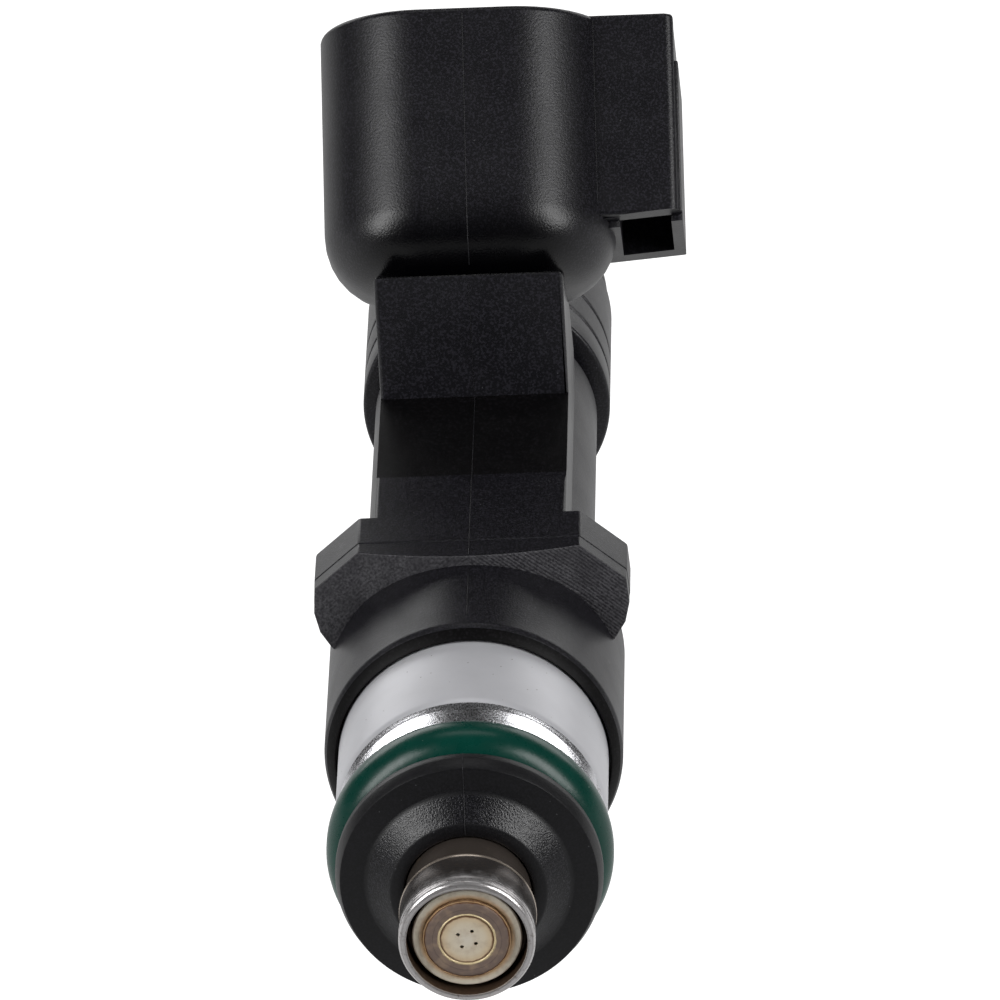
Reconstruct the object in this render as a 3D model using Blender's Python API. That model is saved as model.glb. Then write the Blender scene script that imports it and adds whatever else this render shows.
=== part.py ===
"""Long fuel injector with a tilted two-pin socket, built as an assembly.

The injector's axis lies along Y, spray tip towards -Y and fuel inlet towards +Y, with the electrical
socket towards +Z. The origin is the centre of the lower seal ring, on the axis. Sizes below are in
millimetres. A "station" is a distance along the axis, measured rearward from the spray plate's face.
"""
import math

import bmesh
import bpy
from mathutils import Matrix, Vector

MM = 0.001
GAP = 0.05                    # clearance between pressed or moulded neighbours
OVERSHOOT = 1.0               # how far a cutter runs past the face that it opens

# Stations and radii that drive the layout
LOWER_SEAL = 8.9
LOWER_SEAL_RADIUS = 7.3
UPPER_SEAL_RADIUS = 6.45
TUBE_RADIUS = 3.78            # outside of the valve sleeve and the inlet tube
SLEEVE_BORE = 3.30
TIP_RADIUS = 3.41
TIP_NECK_RADIUS = 3.15        # waist of the sleeve where the retainer cap clips on
RIM_BORE = 3.02
SEAT_POCKET_BORE = 2.80
HOUSING_FRONT = 10.75
HOUSING_RADIUS = 6.90
HOUSING_CHAMFER = 1.45
HOUSING_WALL = 1.0
SKIRT_FRONT = 18.1
SKIRT_RADIUS = 7.64
BODY_RADIUS = 5.96
BODY_BORE = TUBE_RADIUS + 2 * GAP
COLLAR_FRONT = 57.2
COLLAR_RADIUS = 6.65
UNDERCUT_START = 56.0         # the body steps in just before the collar
UNDERCUT_RADIUS = 5.25
COLLAR_GROOVES = (59.5, 62.1)
GROOVE_DEPTH = 0.18
BODY_END = 68.4
INLET_END = 72.5
LIP_RADIUS = 5.7
LIP_THICKNESS = 1.3
CAVITY_END = 28.5             # rear of the pocket that the magnet housing fills
CAP_REAR = 6.98
CAP_FRONT = 4.6
CAP_RADIUS = 6.74
SEAT_RADIUS = 2.745
PLATE_RADIUS = 2.20

# Spine, neck and wings of the moulded body
SPINE_HALF_WIDTH = 4.95
SPINE_TOP = 8.2
RIB_FLOOR = 3.0               # how deep the spine and the neck reach into the round body
NECK_FRONT = 43.0
NECK_TOP = 15.25
NECK_STEP = 1.05              # drop behind the neck's front edge, out of the socket's way
WING_FRONT = 25.8
WING_REAR = 29.6

# Socket: its mouth's centre, tilt back from +Z, width along X, thickness, corner radius and length
MOUTH_STATION = 56.7
MOUTH_HEIGHT = 22.3
TILT = math.radians(43.3)
SOCKET_WIDTH = 15.4
SOCKET_THICKNESS = 11.3
SOCKET_CORNER = 5.3
SOCKET_LENGTH = 14.4
SOCKET_WALL = 1.3
SOCKET_DEPTH = 11.0
BASE_FILLET = 3.55

# Latch guide on the socket's +X side, in the socket's own axes (x, towards the far side, up)
LATCH_INNER = 4.0             # buried in the socket's wall
LATCH_OUTER = 11.25
LATCH_NEAR = -3.3
LATCH_FAR = 4.3
LATCH_LENGTH = 11.1
LATCH_NEAR_LENGTH = 10.75     # the near plate stops short of the far one
LATCH_NEAR_OUTER = 11.05      # and is set in from the outer wall
LATCH_EDGE = 0.5              # thickness of the near plate's set-in edge
LATCH_SHOULDER = 2.5          # depth below the mouth where the outer wall steps out
LATCH_PLATE = 1.15
LATCH_WALL = 0.60

# Terminal blades
BLADE_SPACING = 6.0
BLADE_WIDTH = 1.5
BLADE_THICKNESS = 0.8
BLADE_TIP_DEPTH = 4.2
BLADE_ROOT_DEPTH = 13.0
BLADE_RUN_HEIGHT = 6.9
BLADE_COIL_HEIGHT = 5.0
LEAD_SLOT_HALF_WIDTH = 4.6    # cut-out that lets the leads through the magnet housing and washer
LEAD_SLOT_FRONT = 24.9
LEAD_SLOT_FLOOR = 3.95

# Magnet circuit
COIL_FRONT = 12.4
COIL_REAR = 24.8
COIL_BORE = 3.9
COIL_RADIUS = 5.8
COIL_FLANGE = 0.8
WASHER_FRONT = 25.6
WASHER_REAR = 27.6

# Needle group
BALL_RADIUS = 1.6
SEAT_THROAT = 0.70
SEAT_THROAT_END = 0.9
BALL_LIFT_OFF = 0.04          # axial room between ball and cone at rest
BALL_STATION = SEAT_THROAT_END - SEAT_THROAT + BALL_RADIUS * math.sqrt(2) + BALL_LIFT_OFF
NEEDLE_OUTER = 1.30
NEEDLE_BORE = 0.90
NEEDLE_END = 16.95
ARMATURE_FRONT = 14.0
ARMATURE_REAR = 21.0
ARMATURE_RADIUS = 3.24
LIFT_GAP = 0.10               # air gap between armature and inner pole at rest
SPRING_BORE = 1.60
SPRING_RADIUS = 1.12
SPRING_WIRE = 0.20
SPRING_TURNS = 7
SPRING_END = 24.9
NEEDLE_LIFT = 0.08            # room left in front of the spring for the needle's travel
SPRAY_HOLE_COUNT = 4
SPRAY_HOLE_CIRCLE = 0.51
SPRAY_HOLE_RADIUS = 0.11
SPRAY_HOLE_TURN = math.radians(58)

COARSE = 24                   # sides of the small inner pieces
FINE = 36                     # sides of the outer pieces


# ---------------------------------------------------------------- helpers

def clear_scene():
    for old in list(bpy.data.objects):
        bpy.data.objects.remove(old, do_unlink=True)


def placed(x, station, z):
    """Millimetre position in the part's frame for a point at a station along the axis."""
    return Vector((x, station - LOWER_SEAL, z))


def make_material(name, colour, roughness, metallic):
    material = bpy.data.materials.new(name)
    material.use_nodes = True
    shader = material.node_tree.nodes["Principled BSDF"]
    shader.inputs["Base Color"].default_value = (*colour, 1.0)
    shader.inputs["Roughness"].default_value = roughness
    shader.inputs["Metallic"].default_value = metallic
    material.diffuse_color = (*colour, 1.0)
    return material


def add_object(name, bm, material=None):
    """Turn a bmesh in millimetres into an object in metres, smooth where it is round."""
    bmesh.ops.recalc_face_normals(bm, faces=bm.faces)
    bmesh.ops.scale(bm, vec=(MM, MM, MM), verts=bm.verts)
    mesh = bpy.data.meshes.new(name)
    bm.to_mesh(mesh)
    bm.free()
    mesh.shade_smooth()
    mesh.set_sharp_from_angle(angle=math.radians(35))
    obj = bpy.data.objects.new(name, mesh)
    bpy.context.scene.collection.objects.link(obj)
    if material is None:
        obj.hide_render = True
        obj.display_type = "WIRE"
    else:
        mesh.materials.append(material)
    return obj


def turned(name, profile, material=None, sides=COARSE):
    """Revolve a closed (station, radius) profile about the injector's axis."""
    bm = bmesh.new()
    verts = [bm.verts.new(placed(radius, station, 0)) for station, radius in profile]
    edges = [bm.edges.new((a, b)) for a, b in zip(verts, verts[1:] + verts[:1])]
    on_axis = [e for e in edges if all(v.co.x == 0 for v in e.verts)]
    bmesh.ops.delete(bm, geom=on_axis, context="EDGES")
    profile_geometry = list(bm.verts) + list(bm.edges)
    bmesh.ops.spin(bm, geom=profile_geometry, cent=(0, 0, 0), axis=(0, 1, 0), dvec=(0, 0, 0),
                   angle=2 * math.pi, steps=sides, use_merge=True, use_duplicate=False)
    bmesh.ops.remove_doubles(bm, verts=bm.verts, dist=0.0001)
    return add_object(name, bm, material)


def prism(name, outline, low, high, to_point, material=None):
    """Extrude a flat outline between two depths; to_point(a, b, depth) places each corner."""
    bm = bmesh.new()
    rings = [[bm.verts.new(to_point(a, b, depth)) for a, b in outline] for depth in (low, high)]
    for ring in rings:
        bm.faces.new(ring)
    bridge(bm, *rings)
    return add_object(name, bm, material)


def bridge(bm, lower, upper):
    for i in range(len(lower)):
        j = (i + 1) % len(lower)
        bm.faces.new((lower[i], lower[j], upper[j], upper[i]))


def side_view(station, z, x):
    """Corner of a prism whose outline is seen from the side."""
    return placed(x, station, z)


def end_view(x, z, station):
    """Corner of a prism whose outline is seen along the axis."""
    return placed(x, station, z)


def socket_frame():
    """Socket axes: x as the part's, y to the far side, z out of the mouth; origin in the mouth."""
    return Matrix.Translation(placed(0, MOUTH_STATION, MOUTH_HEIGHT)) @ Matrix.Rotation(-TILT, 4, "X")


def socket_point(x, far, up):
    return socket_frame() @ Vector((x, far, up))


def across_socket(x, up, far):
    """Corner of a prism whose outline is seen square on to the socket's wide side."""
    return socket_point(x, far, up)


def rounded_rectangle(width, thickness, corner, steps=5):
    points = []
    for quadrant, (sx, sy) in enumerate(((1, 1), (-1, 1), (-1, -1), (1, -1))):
        for step in range(steps + 1):
            angle = (quadrant + step / steps) * math.pi / 2
            points.append((sx * (width / 2 - corner) + corner * math.cos(angle),
                           sy * (thickness / 2 - corner) + corner * math.sin(angle)))
    return points


def loft(name, sections, material=None):
    """Skin a stack of rounded rectangles; each section is (up, width, thickness, corner)."""
    bm = bmesh.new()
    rings = []
    for up, width, thickness, corner in sections:
        outline = rounded_rectangle(width, thickness, corner)
        rings.append([bm.verts.new(socket_point(x, far, up)) for x, far in outline])
    for lower, upper in zip(rings, rings[1:]):
        bridge(bm, lower, upper)
    bm.faces.new(rings[0])
    bm.faces.new(rings[-1])
    return add_object(name, bm, material)


def box(name, low, high, to_point=placed):
    """Cutter or added block between two corners given as (x, station, z) or socket axes."""
    (x0, a0, b0), (x1, a1, b1) = low, high
    bm = bmesh.new()
    rings = [[bm.verts.new(to_point(x, a, b)) for x, a in ((x0, a0), (x1, a0), (x1, a1), (x0, a1))]
             for b in (b0, b1)]
    for ring in rings:
        bm.faces.new(ring)
    bridge(bm, *rings)
    return add_object(name, bm)


def combine(target, tool, operation):
    modifier = target.modifiers.new(tool.name, "BOOLEAN")
    modifier.object = tool
    modifier.operation = operation
    modifier.solver = "EXACT"


def thick_line(path, thickness):
    """Outline of a bent strip: the path offset to both sides with mitred corners."""
    points = [Vector(p) for p in path]
    headings = [(b - a).normalized() for a, b in zip(points, points[1:])]
    left, right = [], []
    for i, point in enumerate(points):
        before, after = headings[max(i - 1, 0)], headings[min(i, len(headings) - 1)]
        normal = (Vector((-before.y, before.x)) + Vector((-after.y, after.x))).normalized()
        reach = thickness / 2 / max(normal.dot(Vector((-after.y, after.x))), 0.3)
        left.append(point + normal * reach)
        right.append(point - normal * reach)
    return [tuple(p) for p in left + right[::-1]]


def arc(centre, radius, start_degrees, end_degrees, steps):
    """Points of an arc in a (station, radius) profile."""
    angles = [math.radians(start_degrees + (end_degrees - start_degrees) * i / steps)
              for i in range(steps + 1)]
    return [(centre[0] + radius * math.cos(a), centre[1] + radius * math.sin(a)) for a in angles]


# ---------------------------------------------------------------- moulded body

def body_outer_profile():
    skirt = [(SKIRT_FRONT, 0), (SKIRT_FRONT, SKIRT_RADIUS - 0.59),
             (SKIRT_FRONT + 0.48, SKIRT_RADIUS - 0.14), (SKIRT_FRONT + 0.9, SKIRT_RADIUS),
             (WING_REAR, SKIRT_RADIUS), (WING_REAR, BODY_RADIUS)]
    collar = [(UNDERCUT_START, BODY_RADIUS), (UNDERCUT_START, UNDERCUT_RADIUS),
              (COLLAR_FRONT, UNDERCUT_RADIUS), (COLLAR_FRONT, COLLAR_RADIUS)]
    for groove in COLLAR_GROOVES:
        floor = COLLAR_RADIUS - GROOVE_DEPTH
        collar += [(groove - 0.3, COLLAR_RADIUS), (groove - 0.15, floor),
                   (groove + 0.15, floor), (groove + 0.3, COLLAR_RADIUS)]
    edge = 0.8
    rear = arc((BODY_END - edge, COLLAR_RADIUS - edge), edge, 90, 0, 3)
    return skirt + collar + rear + [(BODY_END, 0)]


def wings_outline():
    right = [(5.7, SPINE_TOP), (8.05, 6.15), (8.15, 4.72), (7.9, 3.6), (7.3, 2.6), (5.0, 1.5)]
    return right + [(-x, z) for x, z in reversed(right)]


def neck_outline():
    """Side view of the arm that carries the socket, from its front face to the rear gusset."""
    saddle = NECK_TOP - NECK_STEP
    return [(NECK_FRONT, RIB_FLOOR), (NECK_FRONT, NECK_TOP), (44.6, saddle), (47.0, saddle),
            (50.5, 9.5), (54.0, 5.2), (54.0, RIB_FLOOR)]


def spine_outline():
    front, rear = WING_FRONT + 0.7, NECK_FRONT + 2
    return [(front, RIB_FLOOR), (front, SPINE_TOP), (rear, SPINE_TOP), (rear, RIB_FLOOR)]


def socket_sections():
    """Sections of the socket's outside, from the filleted base up to the mouth."""
    sections = []
    for degrees in (0, 30, 60, 90):
        inset = BASE_FILLET * (1 - math.sin(math.radians(degrees)))
        up = -SOCKET_LENGTH + BASE_FILLET * (1 - math.cos(math.radians(degrees)))
        sections.append((up, SOCKET_WIDTH - 2 * inset, SOCKET_THICKNESS - 2 * inset,
                         SOCKET_CORNER - inset))
    sections.append((0, SOCKET_WIDTH, SOCKET_THICKNESS, SOCKET_CORNER))
    return sections


def terminal_path():
    """Side view of a terminal: blade in the socket, run along the spine, end at the coil."""
    def on_blade(depth):
        return (MOUTH_STATION - depth * math.sin(TILT), MOUTH_HEIGHT - depth * math.cos(TILT))
    return [on_blade(BLADE_TIP_DEPTH), on_blade(BLADE_ROOT_DEPTH), (45.6, BLADE_RUN_HEIGHT),
            (30.3, BLADE_RUN_HEIGHT), (28.9, BLADE_COIL_HEIGHT), (25.2, BLADE_COIL_HEIGHT)]


def terminal_strip(name, centre_x, clearance=0.0, material=None):
    outline = thick_line(terminal_path(), BLADE_THICKNESS + 2 * clearance)
    half = BLADE_WIDTH / 2 + clearance
    return prism(name, outline, centre_x - half, centre_x + half, side_view, material)


def add_latch_guide(body):
    """Tunnel beside the socket: a near plate, a thin outer wall that steps out, and a far plate."""
    side = SOCKET_WIDTH / 2 + 0.26
    beyond = LATCH_OUTER + OVERSHOOT
    below, above = -LATCH_LENGTH - 2 * OVERSHOOT, OVERSHOOT
    before = LATCH_NEAR - OVERSHOOT
    plate_back, far_plate = LATCH_NEAR + LATCH_PLATE, LATCH_FAR - LATCH_PLATE
    block = box("add_latch", (LATCH_INNER, LATCH_NEAR, -LATCH_LENGTH), (LATCH_OUTER, LATCH_FAR, -0.01),
                socket_point)
    combine(body, block, "UNION")
    combine(body, box("cut_latch_foot", (side, before, below),
                      (beyond, plate_back + 0.02, -LATCH_NEAR_LENGTH), socket_point), "DIFFERENCE")
    combine(body, box("cut_latch_edge", (LATCH_NEAR_OUTER, before, below),
                      (beyond, LATCH_NEAR + LATCH_EDGE, above), socket_point), "DIFFERENCE")
    combine(body, box("cut_latch_shoulder", (LATCH_NEAR_OUTER - 0.02, before, -LATCH_SHOULDER),
                      (beyond, LATCH_FAR + OVERSHOOT, above), socket_point), "DIFFERENCE")
    wide, narrow = LATCH_OUTER - LATCH_WALL, LATCH_NEAR_OUTER - LATCH_WALL
    step = -LATCH_SHOULDER - LATCH_WALL
    outline = [(side, below), (wide, below), (wide, step), (narrow, step), (narrow, above),
               (side, above)]
    combine(body, prism("cut_latch_tunnel", outline, plate_back, far_plate, across_socket),
            "DIFFERENCE")


def build_overmold(material):
    body = turned("overmold_body", body_outer_profile(), material, FINE)
    combine(body, prism("add_wings", wings_outline(), WING_FRONT, WING_REAR, end_view), "UNION")
    combine(body, prism("add_spine", spine_outline(), -SPINE_HALF_WIDTH, SPINE_HALF_WIDTH,
                        side_view), "UNION")
    neck_half_width = SPINE_HALF_WIDTH - 0.02
    combine(body, prism("add_neck", neck_outline(), -neck_half_width, neck_half_width, side_view),
            "UNION")
    combine(body, loft("add_socket", socket_sections()), "UNION")
    add_latch_guide(body)

    front, rear = SKIRT_FRONT - OVERSHOOT, BODY_END + OVERSHOOT
    inner = [(front, 0), (front, HOUSING_RADIUS + GAP), (CAVITY_END, HOUSING_RADIUS + GAP),
             (CAVITY_END, BODY_BORE), (rear, BODY_BORE), (rear, 0)]
    combine(body, turned("cut_inner", inner, sides=FINE), "DIFFERENCE")
    hollow = (SOCKET_WIDTH - 2 * SOCKET_WALL, SOCKET_THICKNESS - 2 * SOCKET_WALL,
              SOCKET_CORNER - SOCKET_WALL)
    combine(body, loft("cut_socket", [(-SOCKET_DEPTH, *hollow), (OVERSHOOT, *hollow)]), "DIFFERENCE")
    for side, x in (("left", -BLADE_SPACING / 2), ("right", BLADE_SPACING / 2)):
        combine(body, terminal_strip("cut_terminal_" + side, x, 2 * GAP), "DIFFERENCE")


# ---------------------------------------------------------------- solenoid

def lead_slot(name):
    """Cut-out at the top rear of the magnet circuit for the two leads."""
    return box(name, (-LEAD_SLOT_HALF_WIDTH, LEAD_SLOT_FRONT, LEAD_SLOT_FLOOR),
               (LEAD_SLOT_HALF_WIDTH, CAVITY_END + OVERSHOOT, HOUSING_RADIUS + OVERSHOOT))


def build_solenoid(materials):
    rear, inner, floor = CAVITY_END - 0.2, HOUSING_RADIUS - HOUSING_WALL, COIL_FRONT - 0.15
    housing = turned("magnet_housing", [
        (HOUSING_FRONT, COIL_BORE), (HOUSING_FRONT, HOUSING_RADIUS - HOUSING_CHAMFER),
        (HOUSING_FRONT + HOUSING_CHAMFER, HOUSING_RADIUS), (rear, HOUSING_RADIUS), (rear, inner),
        (floor, inner), (floor, COIL_BORE)], materials["steel"], FINE)
    combine(housing, lead_slot("cut_housing_slot"), "DIFFERENCE")
    washer = turned("magnet_end_washer", [
        (WASHER_FRONT, COIL_BORE), (WASHER_FRONT, inner - 0.07), (WASHER_REAR, inner - 0.07),
        (WASHER_REAR, COIL_BORE)], materials["steel"], FINE)
    combine(washer, lead_slot("cut_washer_slot"), "DIFFERENCE")
    drum = COIL_BORE + 0.6
    front_flange, rear_flange = COIL_FRONT + COIL_FLANGE, COIL_REAR - COIL_FLANGE
    turned("coil_bobbin", [
        (COIL_FRONT, COIL_BORE), (COIL_FRONT, COIL_RADIUS), (front_flange, COIL_RADIUS),
        (front_flange, drum), (rear_flange, drum), (rear_flange, COIL_RADIUS),
        (COIL_REAR, COIL_RADIUS), (COIL_REAR, COIL_BORE)], materials["bobbin"], FINE)
    wire_front, wire_rear = front_flange + 2 * GAP, rear_flange - 2 * GAP
    wire_inner, wire_outer = drum + 2 * GAP, COIL_RADIUS - 2 * GAP
    turned("coil_winding", [(wire_front, wire_inner), (wire_front, wire_outer),
                            (wire_rear, wire_outer), (wire_rear, wire_inner)],
           materials["copper"], FINE)
    pole_front, pole_rear = ARMATURE_REAR + LIFT_GAP, 30.0
    turned("inner_pole", [
        (pole_front, SPRING_BORE), (pole_front, ARMATURE_RADIUS), (pole_rear, ARMATURE_RADIUS),
        (pole_rear, SPRING_BORE)], materials["steel"])


# ---------------------------------------------------------------- fuel path

def build_valve_sleeve(material):
    rim_round = 0.35
    rim = arc((0.0, TIP_RADIUS - rim_round), rim_round, 180, 90, 4)
    sleeve_rear, pocket_end = 33.5, 6.4
    turned("valve_sleeve", rim + [
        (2.5, TIP_RADIUS), (2.62, 3.3), (2.62, TIP_NECK_RADIUS), (5.95, TIP_NECK_RADIUS),
        (6.3, TUBE_RADIUS), (sleeve_rear, TUBE_RADIUS), (sleeve_rear, SLEEVE_BORE),
        (pocket_end + 0.3, SLEEVE_BORE), (pocket_end, SEAT_POCKET_BORE), (1.3, SEAT_POCKET_BORE),
        (1.3, RIM_BORE), (-0.3, RIM_BORE)], material, FINE)


def build_inlet_tube(material):
    """Tube from the magnet to the fuel rail; its front shrinks to slide into the valve sleeve."""
    spigot, spigot_bore, bore, edge = SLEEVE_BORE - 0.06, 2.85, 3.3, 0.3
    lip_front = INLET_END - LIP_THICKNESS
    turned("inlet_tube", [
        (30.1, spigot_bore), (30.1, spigot), (33.6, spigot), (33.6, TUBE_RADIUS),
        (lip_front - edge, TUBE_RADIUS), (lip_front, TUBE_RADIUS + edge),
        (lip_front, LIP_RADIUS - edge), (lip_front + edge, LIP_RADIUS),
        (INLET_END - edge, LIP_RADIUS), (INLET_END, LIP_RADIUS - edge), (INLET_END, bore + edge),
        (INLET_END - edge, bore), (34.4, bore), (34.0, spigot_bore)], material, FINE)


def build_seal(name, front, outer_radius, material):
    """Round ring on the tube, its front side at the given station."""
    section = (outer_radius - TUBE_RADIUS - GAP) / 2
    centre = (front + section, outer_radius - section)
    turned(name, arc(centre, section, 0, 360, 14)[:-1], material, FINE)


def build_tip_cap(material):
    """Moulded ring that keeps the lower seal on: chamfered rim, flat face and a cone to its bore."""
    bore, seat = TIP_NECK_RADIUS + 0.07, TUBE_RADIUS + 0.08
    face = CAP_FRONT + 1.15
    turned("tip_retainer_cap", [
        (CAP_REAR, seat), (CAP_REAR, CAP_RADIUS), (face + 0.75, CAP_RADIUS),
        (face + 0.09, CAP_RADIUS - 0.22), (face, CAP_RADIUS - 0.34), (face, 5.2),
        (CAP_FRONT + 0.1, 3.95), (CAP_FRONT, 3.85), (CAP_FRONT, bore), (5.72, bore), (6.05, seat)],
        material, FINE)


def build_valve_seat(material):
    guide = BALL_RADIUS + GAP
    cone_end = SEAT_THROAT_END + guide - SEAT_THROAT
    front, rear, edge = 0.20, 4.2, 0.10
    turned("valve_seat", [
        (front, SEAT_THROAT), (front, SEAT_RADIUS - edge), (front + edge, SEAT_RADIUS),
        (rear, SEAT_RADIUS), (rear, guide + 0.25), (rear - 0.25, guide), (cone_end, guide),
        (SEAT_THROAT_END, SEAT_THROAT)], material)


def build_orifice_plate(material):
    """Thin plate welded over the seat; the weld stands a little proud of its face."""
    weld_inner, weld_proud, thickness = 1.40, 0.07, 0.16
    plate = turned("orifice_plate", [
        (0.0, 0), (0.0, weld_inner), (-weld_proud, weld_inner + 0.08),
        (-weld_proud, PLATE_RADIUS - 0.10), (0.0, PLATE_RADIUS), (thickness, PLATE_RADIUS),
        (thickness, 0)], material)
    for hole in range(SPRAY_HOLE_COUNT):
        angle = SPRAY_HOLE_TURN + hole * 2 * math.pi / SPRAY_HOLE_COUNT
        centre = (SPRAY_HOLE_CIRCLE * math.cos(angle), SPRAY_HOLE_CIRCLE * math.sin(angle))
        outline = arc(centre, SPRAY_HOLE_RADIUS, 0, 360, 10)[:-1]
        combine(plate, prism(f"cut_spray_{hole + 1}", outline, -0.5, 0.6, end_view), "DIFFERENCE")


def build_filter(materials):
    """Basket in the inlet: brass collar, moulded cage with four windows and the cloth inside it."""
    outer, inner, start, end = 2.8, 2.3, 60.5, 71.8
    collar_front, collar_rear, collar_radius = 68.6, 72.0, 3.22
    turned("filter_collar", [
        (collar_front, outer + GAP), (collar_front, collar_radius), (collar_rear, collar_radius),
        (collar_rear, outer + GAP)], materials["brass"])
    floor = start + 0.8
    cage = turned("filter_frame", [
        (start, 0), (start, outer), (end, outer), (end, inner), (floor, inner), (floor, 0)],
        materials["bobbin"])
    front, rear, half, reach = floor + 0.7, collar_front - 0.2, 1.2, outer + OVERSHOOT
    combine(cage, box("cut_window_across", (-reach, front, -half), (reach, rear, half)), "DIFFERENCE")
    combine(cage, box("cut_window_upright", (-half, front, -reach), (half, rear, reach)),
            "DIFFERENCE")
    cloth_outer, cloth_inner = inner - 0.12, inner - 0.22
    cloth_front, cloth_rear = floor + 0.1, 69.0
    turned("filter_screen", [
        (cloth_front, cloth_inner), (cloth_front, cloth_outer), (cloth_rear, cloth_outer),
        (cloth_rear, cloth_inner)], materials["mesh"])


# ---------------------------------------------------------------- needle group

def build_needle_group(materials):
    pressed_bore, pocket_floor = NEEDLE_OUTER + GAP, NEEDLE_END + GAP
    turned("armature", [
        (ARMATURE_FRONT, pressed_bore), (ARMATURE_FRONT, ARMATURE_RADIUS - 0.34),
        (ARMATURE_FRONT + 0.4, ARMATURE_RADIUS), (ARMATURE_REAR, ARMATURE_RADIUS),
        (ARMATURE_REAR, SPRING_BORE), (pocket_floor, SPRING_BORE), (pocket_floor, pressed_bore)],
        materials["steel"])
    cup = BALL_RADIUS + GAP
    needle = turned("needle_tube", [
        (BALL_STATION + math.sqrt(cup ** 2 - NEEDLE_OUTER ** 2), NEEDLE_OUTER),
        (BALL_STATION + math.sqrt(cup ** 2 - NEEDLE_BORE ** 2), NEEDLE_BORE),
        (NEEDLE_END, NEEDLE_BORE), (NEEDLE_END, NEEDLE_OUTER)], materials["steel"])
    fuel_hole_station, fuel_hole_radius = 5.4, 0.4
    outline = arc((fuel_hole_station, 0), fuel_hole_radius, 0, 360, 12)[:-1]
    reach = NEEDLE_OUTER + OVERSHOOT
    combine(needle, prism("cut_fuel_holes", outline, -reach, reach, side_view), "DIFFERENCE")
    turned("valve_ball", arc((BALL_STATION, 0), BALL_RADIUS, 180, 0, 12), materials["steel"])


def build_spring(material):
    """Closing spring: one wire along a helix whose end turns lie flat."""
    start = NEEDLE_END + NEEDLE_LIFT + SPRING_WIRE + GAP
    end = SPRING_END - SPRING_WIRE - GAP
    dead_pitch = 2 * SPRING_WIRE + 0.06
    live_pitch = (end - start - 2 * dead_pitch) / (SPRING_TURNS - 2)
    per_turn = 12
    curve = bpy.data.curves.new("closing_spring", "CURVE")
    curve.dimensions = "3D"
    curve.bevel_depth = SPRING_WIRE * MM
    curve.bevel_resolution = 1
    curve.use_fill_caps = True
    spline = curve.splines.new("POLY")
    spline.points.add(SPRING_TURNS * per_turn)
    for i, point in enumerate(spline.points):
        turn = i / per_turn
        live = min(max(turn - 1, 0), SPRING_TURNS - 2)
        station = start + (turn - live) * dead_pitch + live * live_pitch
        angle = 2 * math.pi * turn
        place = placed(SPRING_RADIUS * math.cos(angle), station, SPRING_RADIUS * math.sin(angle))
        point.co = (*(place * MM), 1)
    curve.materials.append(material)
    spring = bpy.data.objects.new("closing_spring", curve)
    bpy.context.scene.collection.objects.link(spring)


def build_adjusting_sleeve(material):
    """Slit tube pressed behind the spring; its depth sets the spring's preload."""
    front, rear, outer, bore, slit = SPRING_END + GAP, 31.0, SPRING_BORE - 0.06, 0.95, 0.4
    sleeve = turned("adjusting_sleeve", [(front, bore), (front, outer), (rear, outer), (rear, bore)],
                    material)
    combine(sleeve, box("cut_sleeve_slit", (-slit / 2, front - OVERSHOOT, bore / 3),
                        (slit / 2, rear + OVERSHOOT, outer + OVERSHOOT)), "DIFFERENCE")


# ---------------------------------------------------------------- assembly

def main():
    clear_scene()
    materials = {
        "plastic": make_material("moulded_black", (0.012, 0.012, 0.015), 0.45, 0.0),
        "steel": make_material("stainless_steel", (0.60, 0.60, 0.62), 0.22, 1.0),
        "seat": make_material("seat_steel", (0.62, 0.58, 0.48), 0.30, 1.0),
        "plate": make_material("plate_steel", (0.72, 0.68, 0.58), 0.28, 1.0),
        "seal_green": make_material("seal_green", (0.004, 0.10, 0.055), 0.35, 0.0),
        "seal_black": make_material("seal_black", (0.015, 0.015, 0.016), 0.40, 0.0),
        "bobbin": make_material("bobbin_plastic", (0.35, 0.30, 0.22), 0.50, 0.0),
        "copper": make_material("enamelled_copper", (0.45, 0.16, 0.06), 0.35, 1.0),
        "tin": make_material("tinned_terminal", (0.62, 0.60, 0.56), 0.30, 1.0),
        "spring": make_material("spring_steel", (0.40, 0.40, 0.42), 0.30, 1.0),
        "brass": make_material("filter_brass", (0.60, 0.42, 0.16), 0.30, 1.0),
        "mesh": make_material("filter_mesh", (0.55, 0.52, 0.45), 0.60, 0.0),
    }
    build_overmold(materials["plastic"])
    build_solenoid(materials)
    build_valve_sleeve(materials["steel"])
    build_inlet_tube(materials["steel"])
    lower_section = (LOWER_SEAL_RADIUS - TUBE_RADIUS - GAP) / 2
    build_seal("lower_seal_ring", LOWER_SEAL - lower_section, LOWER_SEAL_RADIUS,
               materials["seal_green"])
    build_seal("upper_seal_ring", BODY_END + GAP, UPPER_SEAL_RADIUS, materials["seal_black"])
    build_tip_cap(materials["plastic"])
    build_valve_seat(materials["seat"])
    build_orifice_plate(materials["plate"])
    build_filter(materials)
    build_needle_group(materials)
    build_spring(materials["spring"])
    build_adjusting_sleeve(materials["steel"])
    terminal_strip("terminal_left", -BLADE_SPACING / 2, material=materials["tin"])
    terminal_strip("terminal_right", BLADE_SPACING / 2, material=materials["tin"])


main()
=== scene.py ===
"""Looks for the fuel injector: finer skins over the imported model, materials, light and camera.

Sizes are in millimetres and are turned into metres when a mesh is made. A "station" is a distance
along the injector's axis (+Y), measured rearward from the spray plate's face.
"""
import math

import bmesh
import bpy
from mathutils import Matrix, Vector


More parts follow.
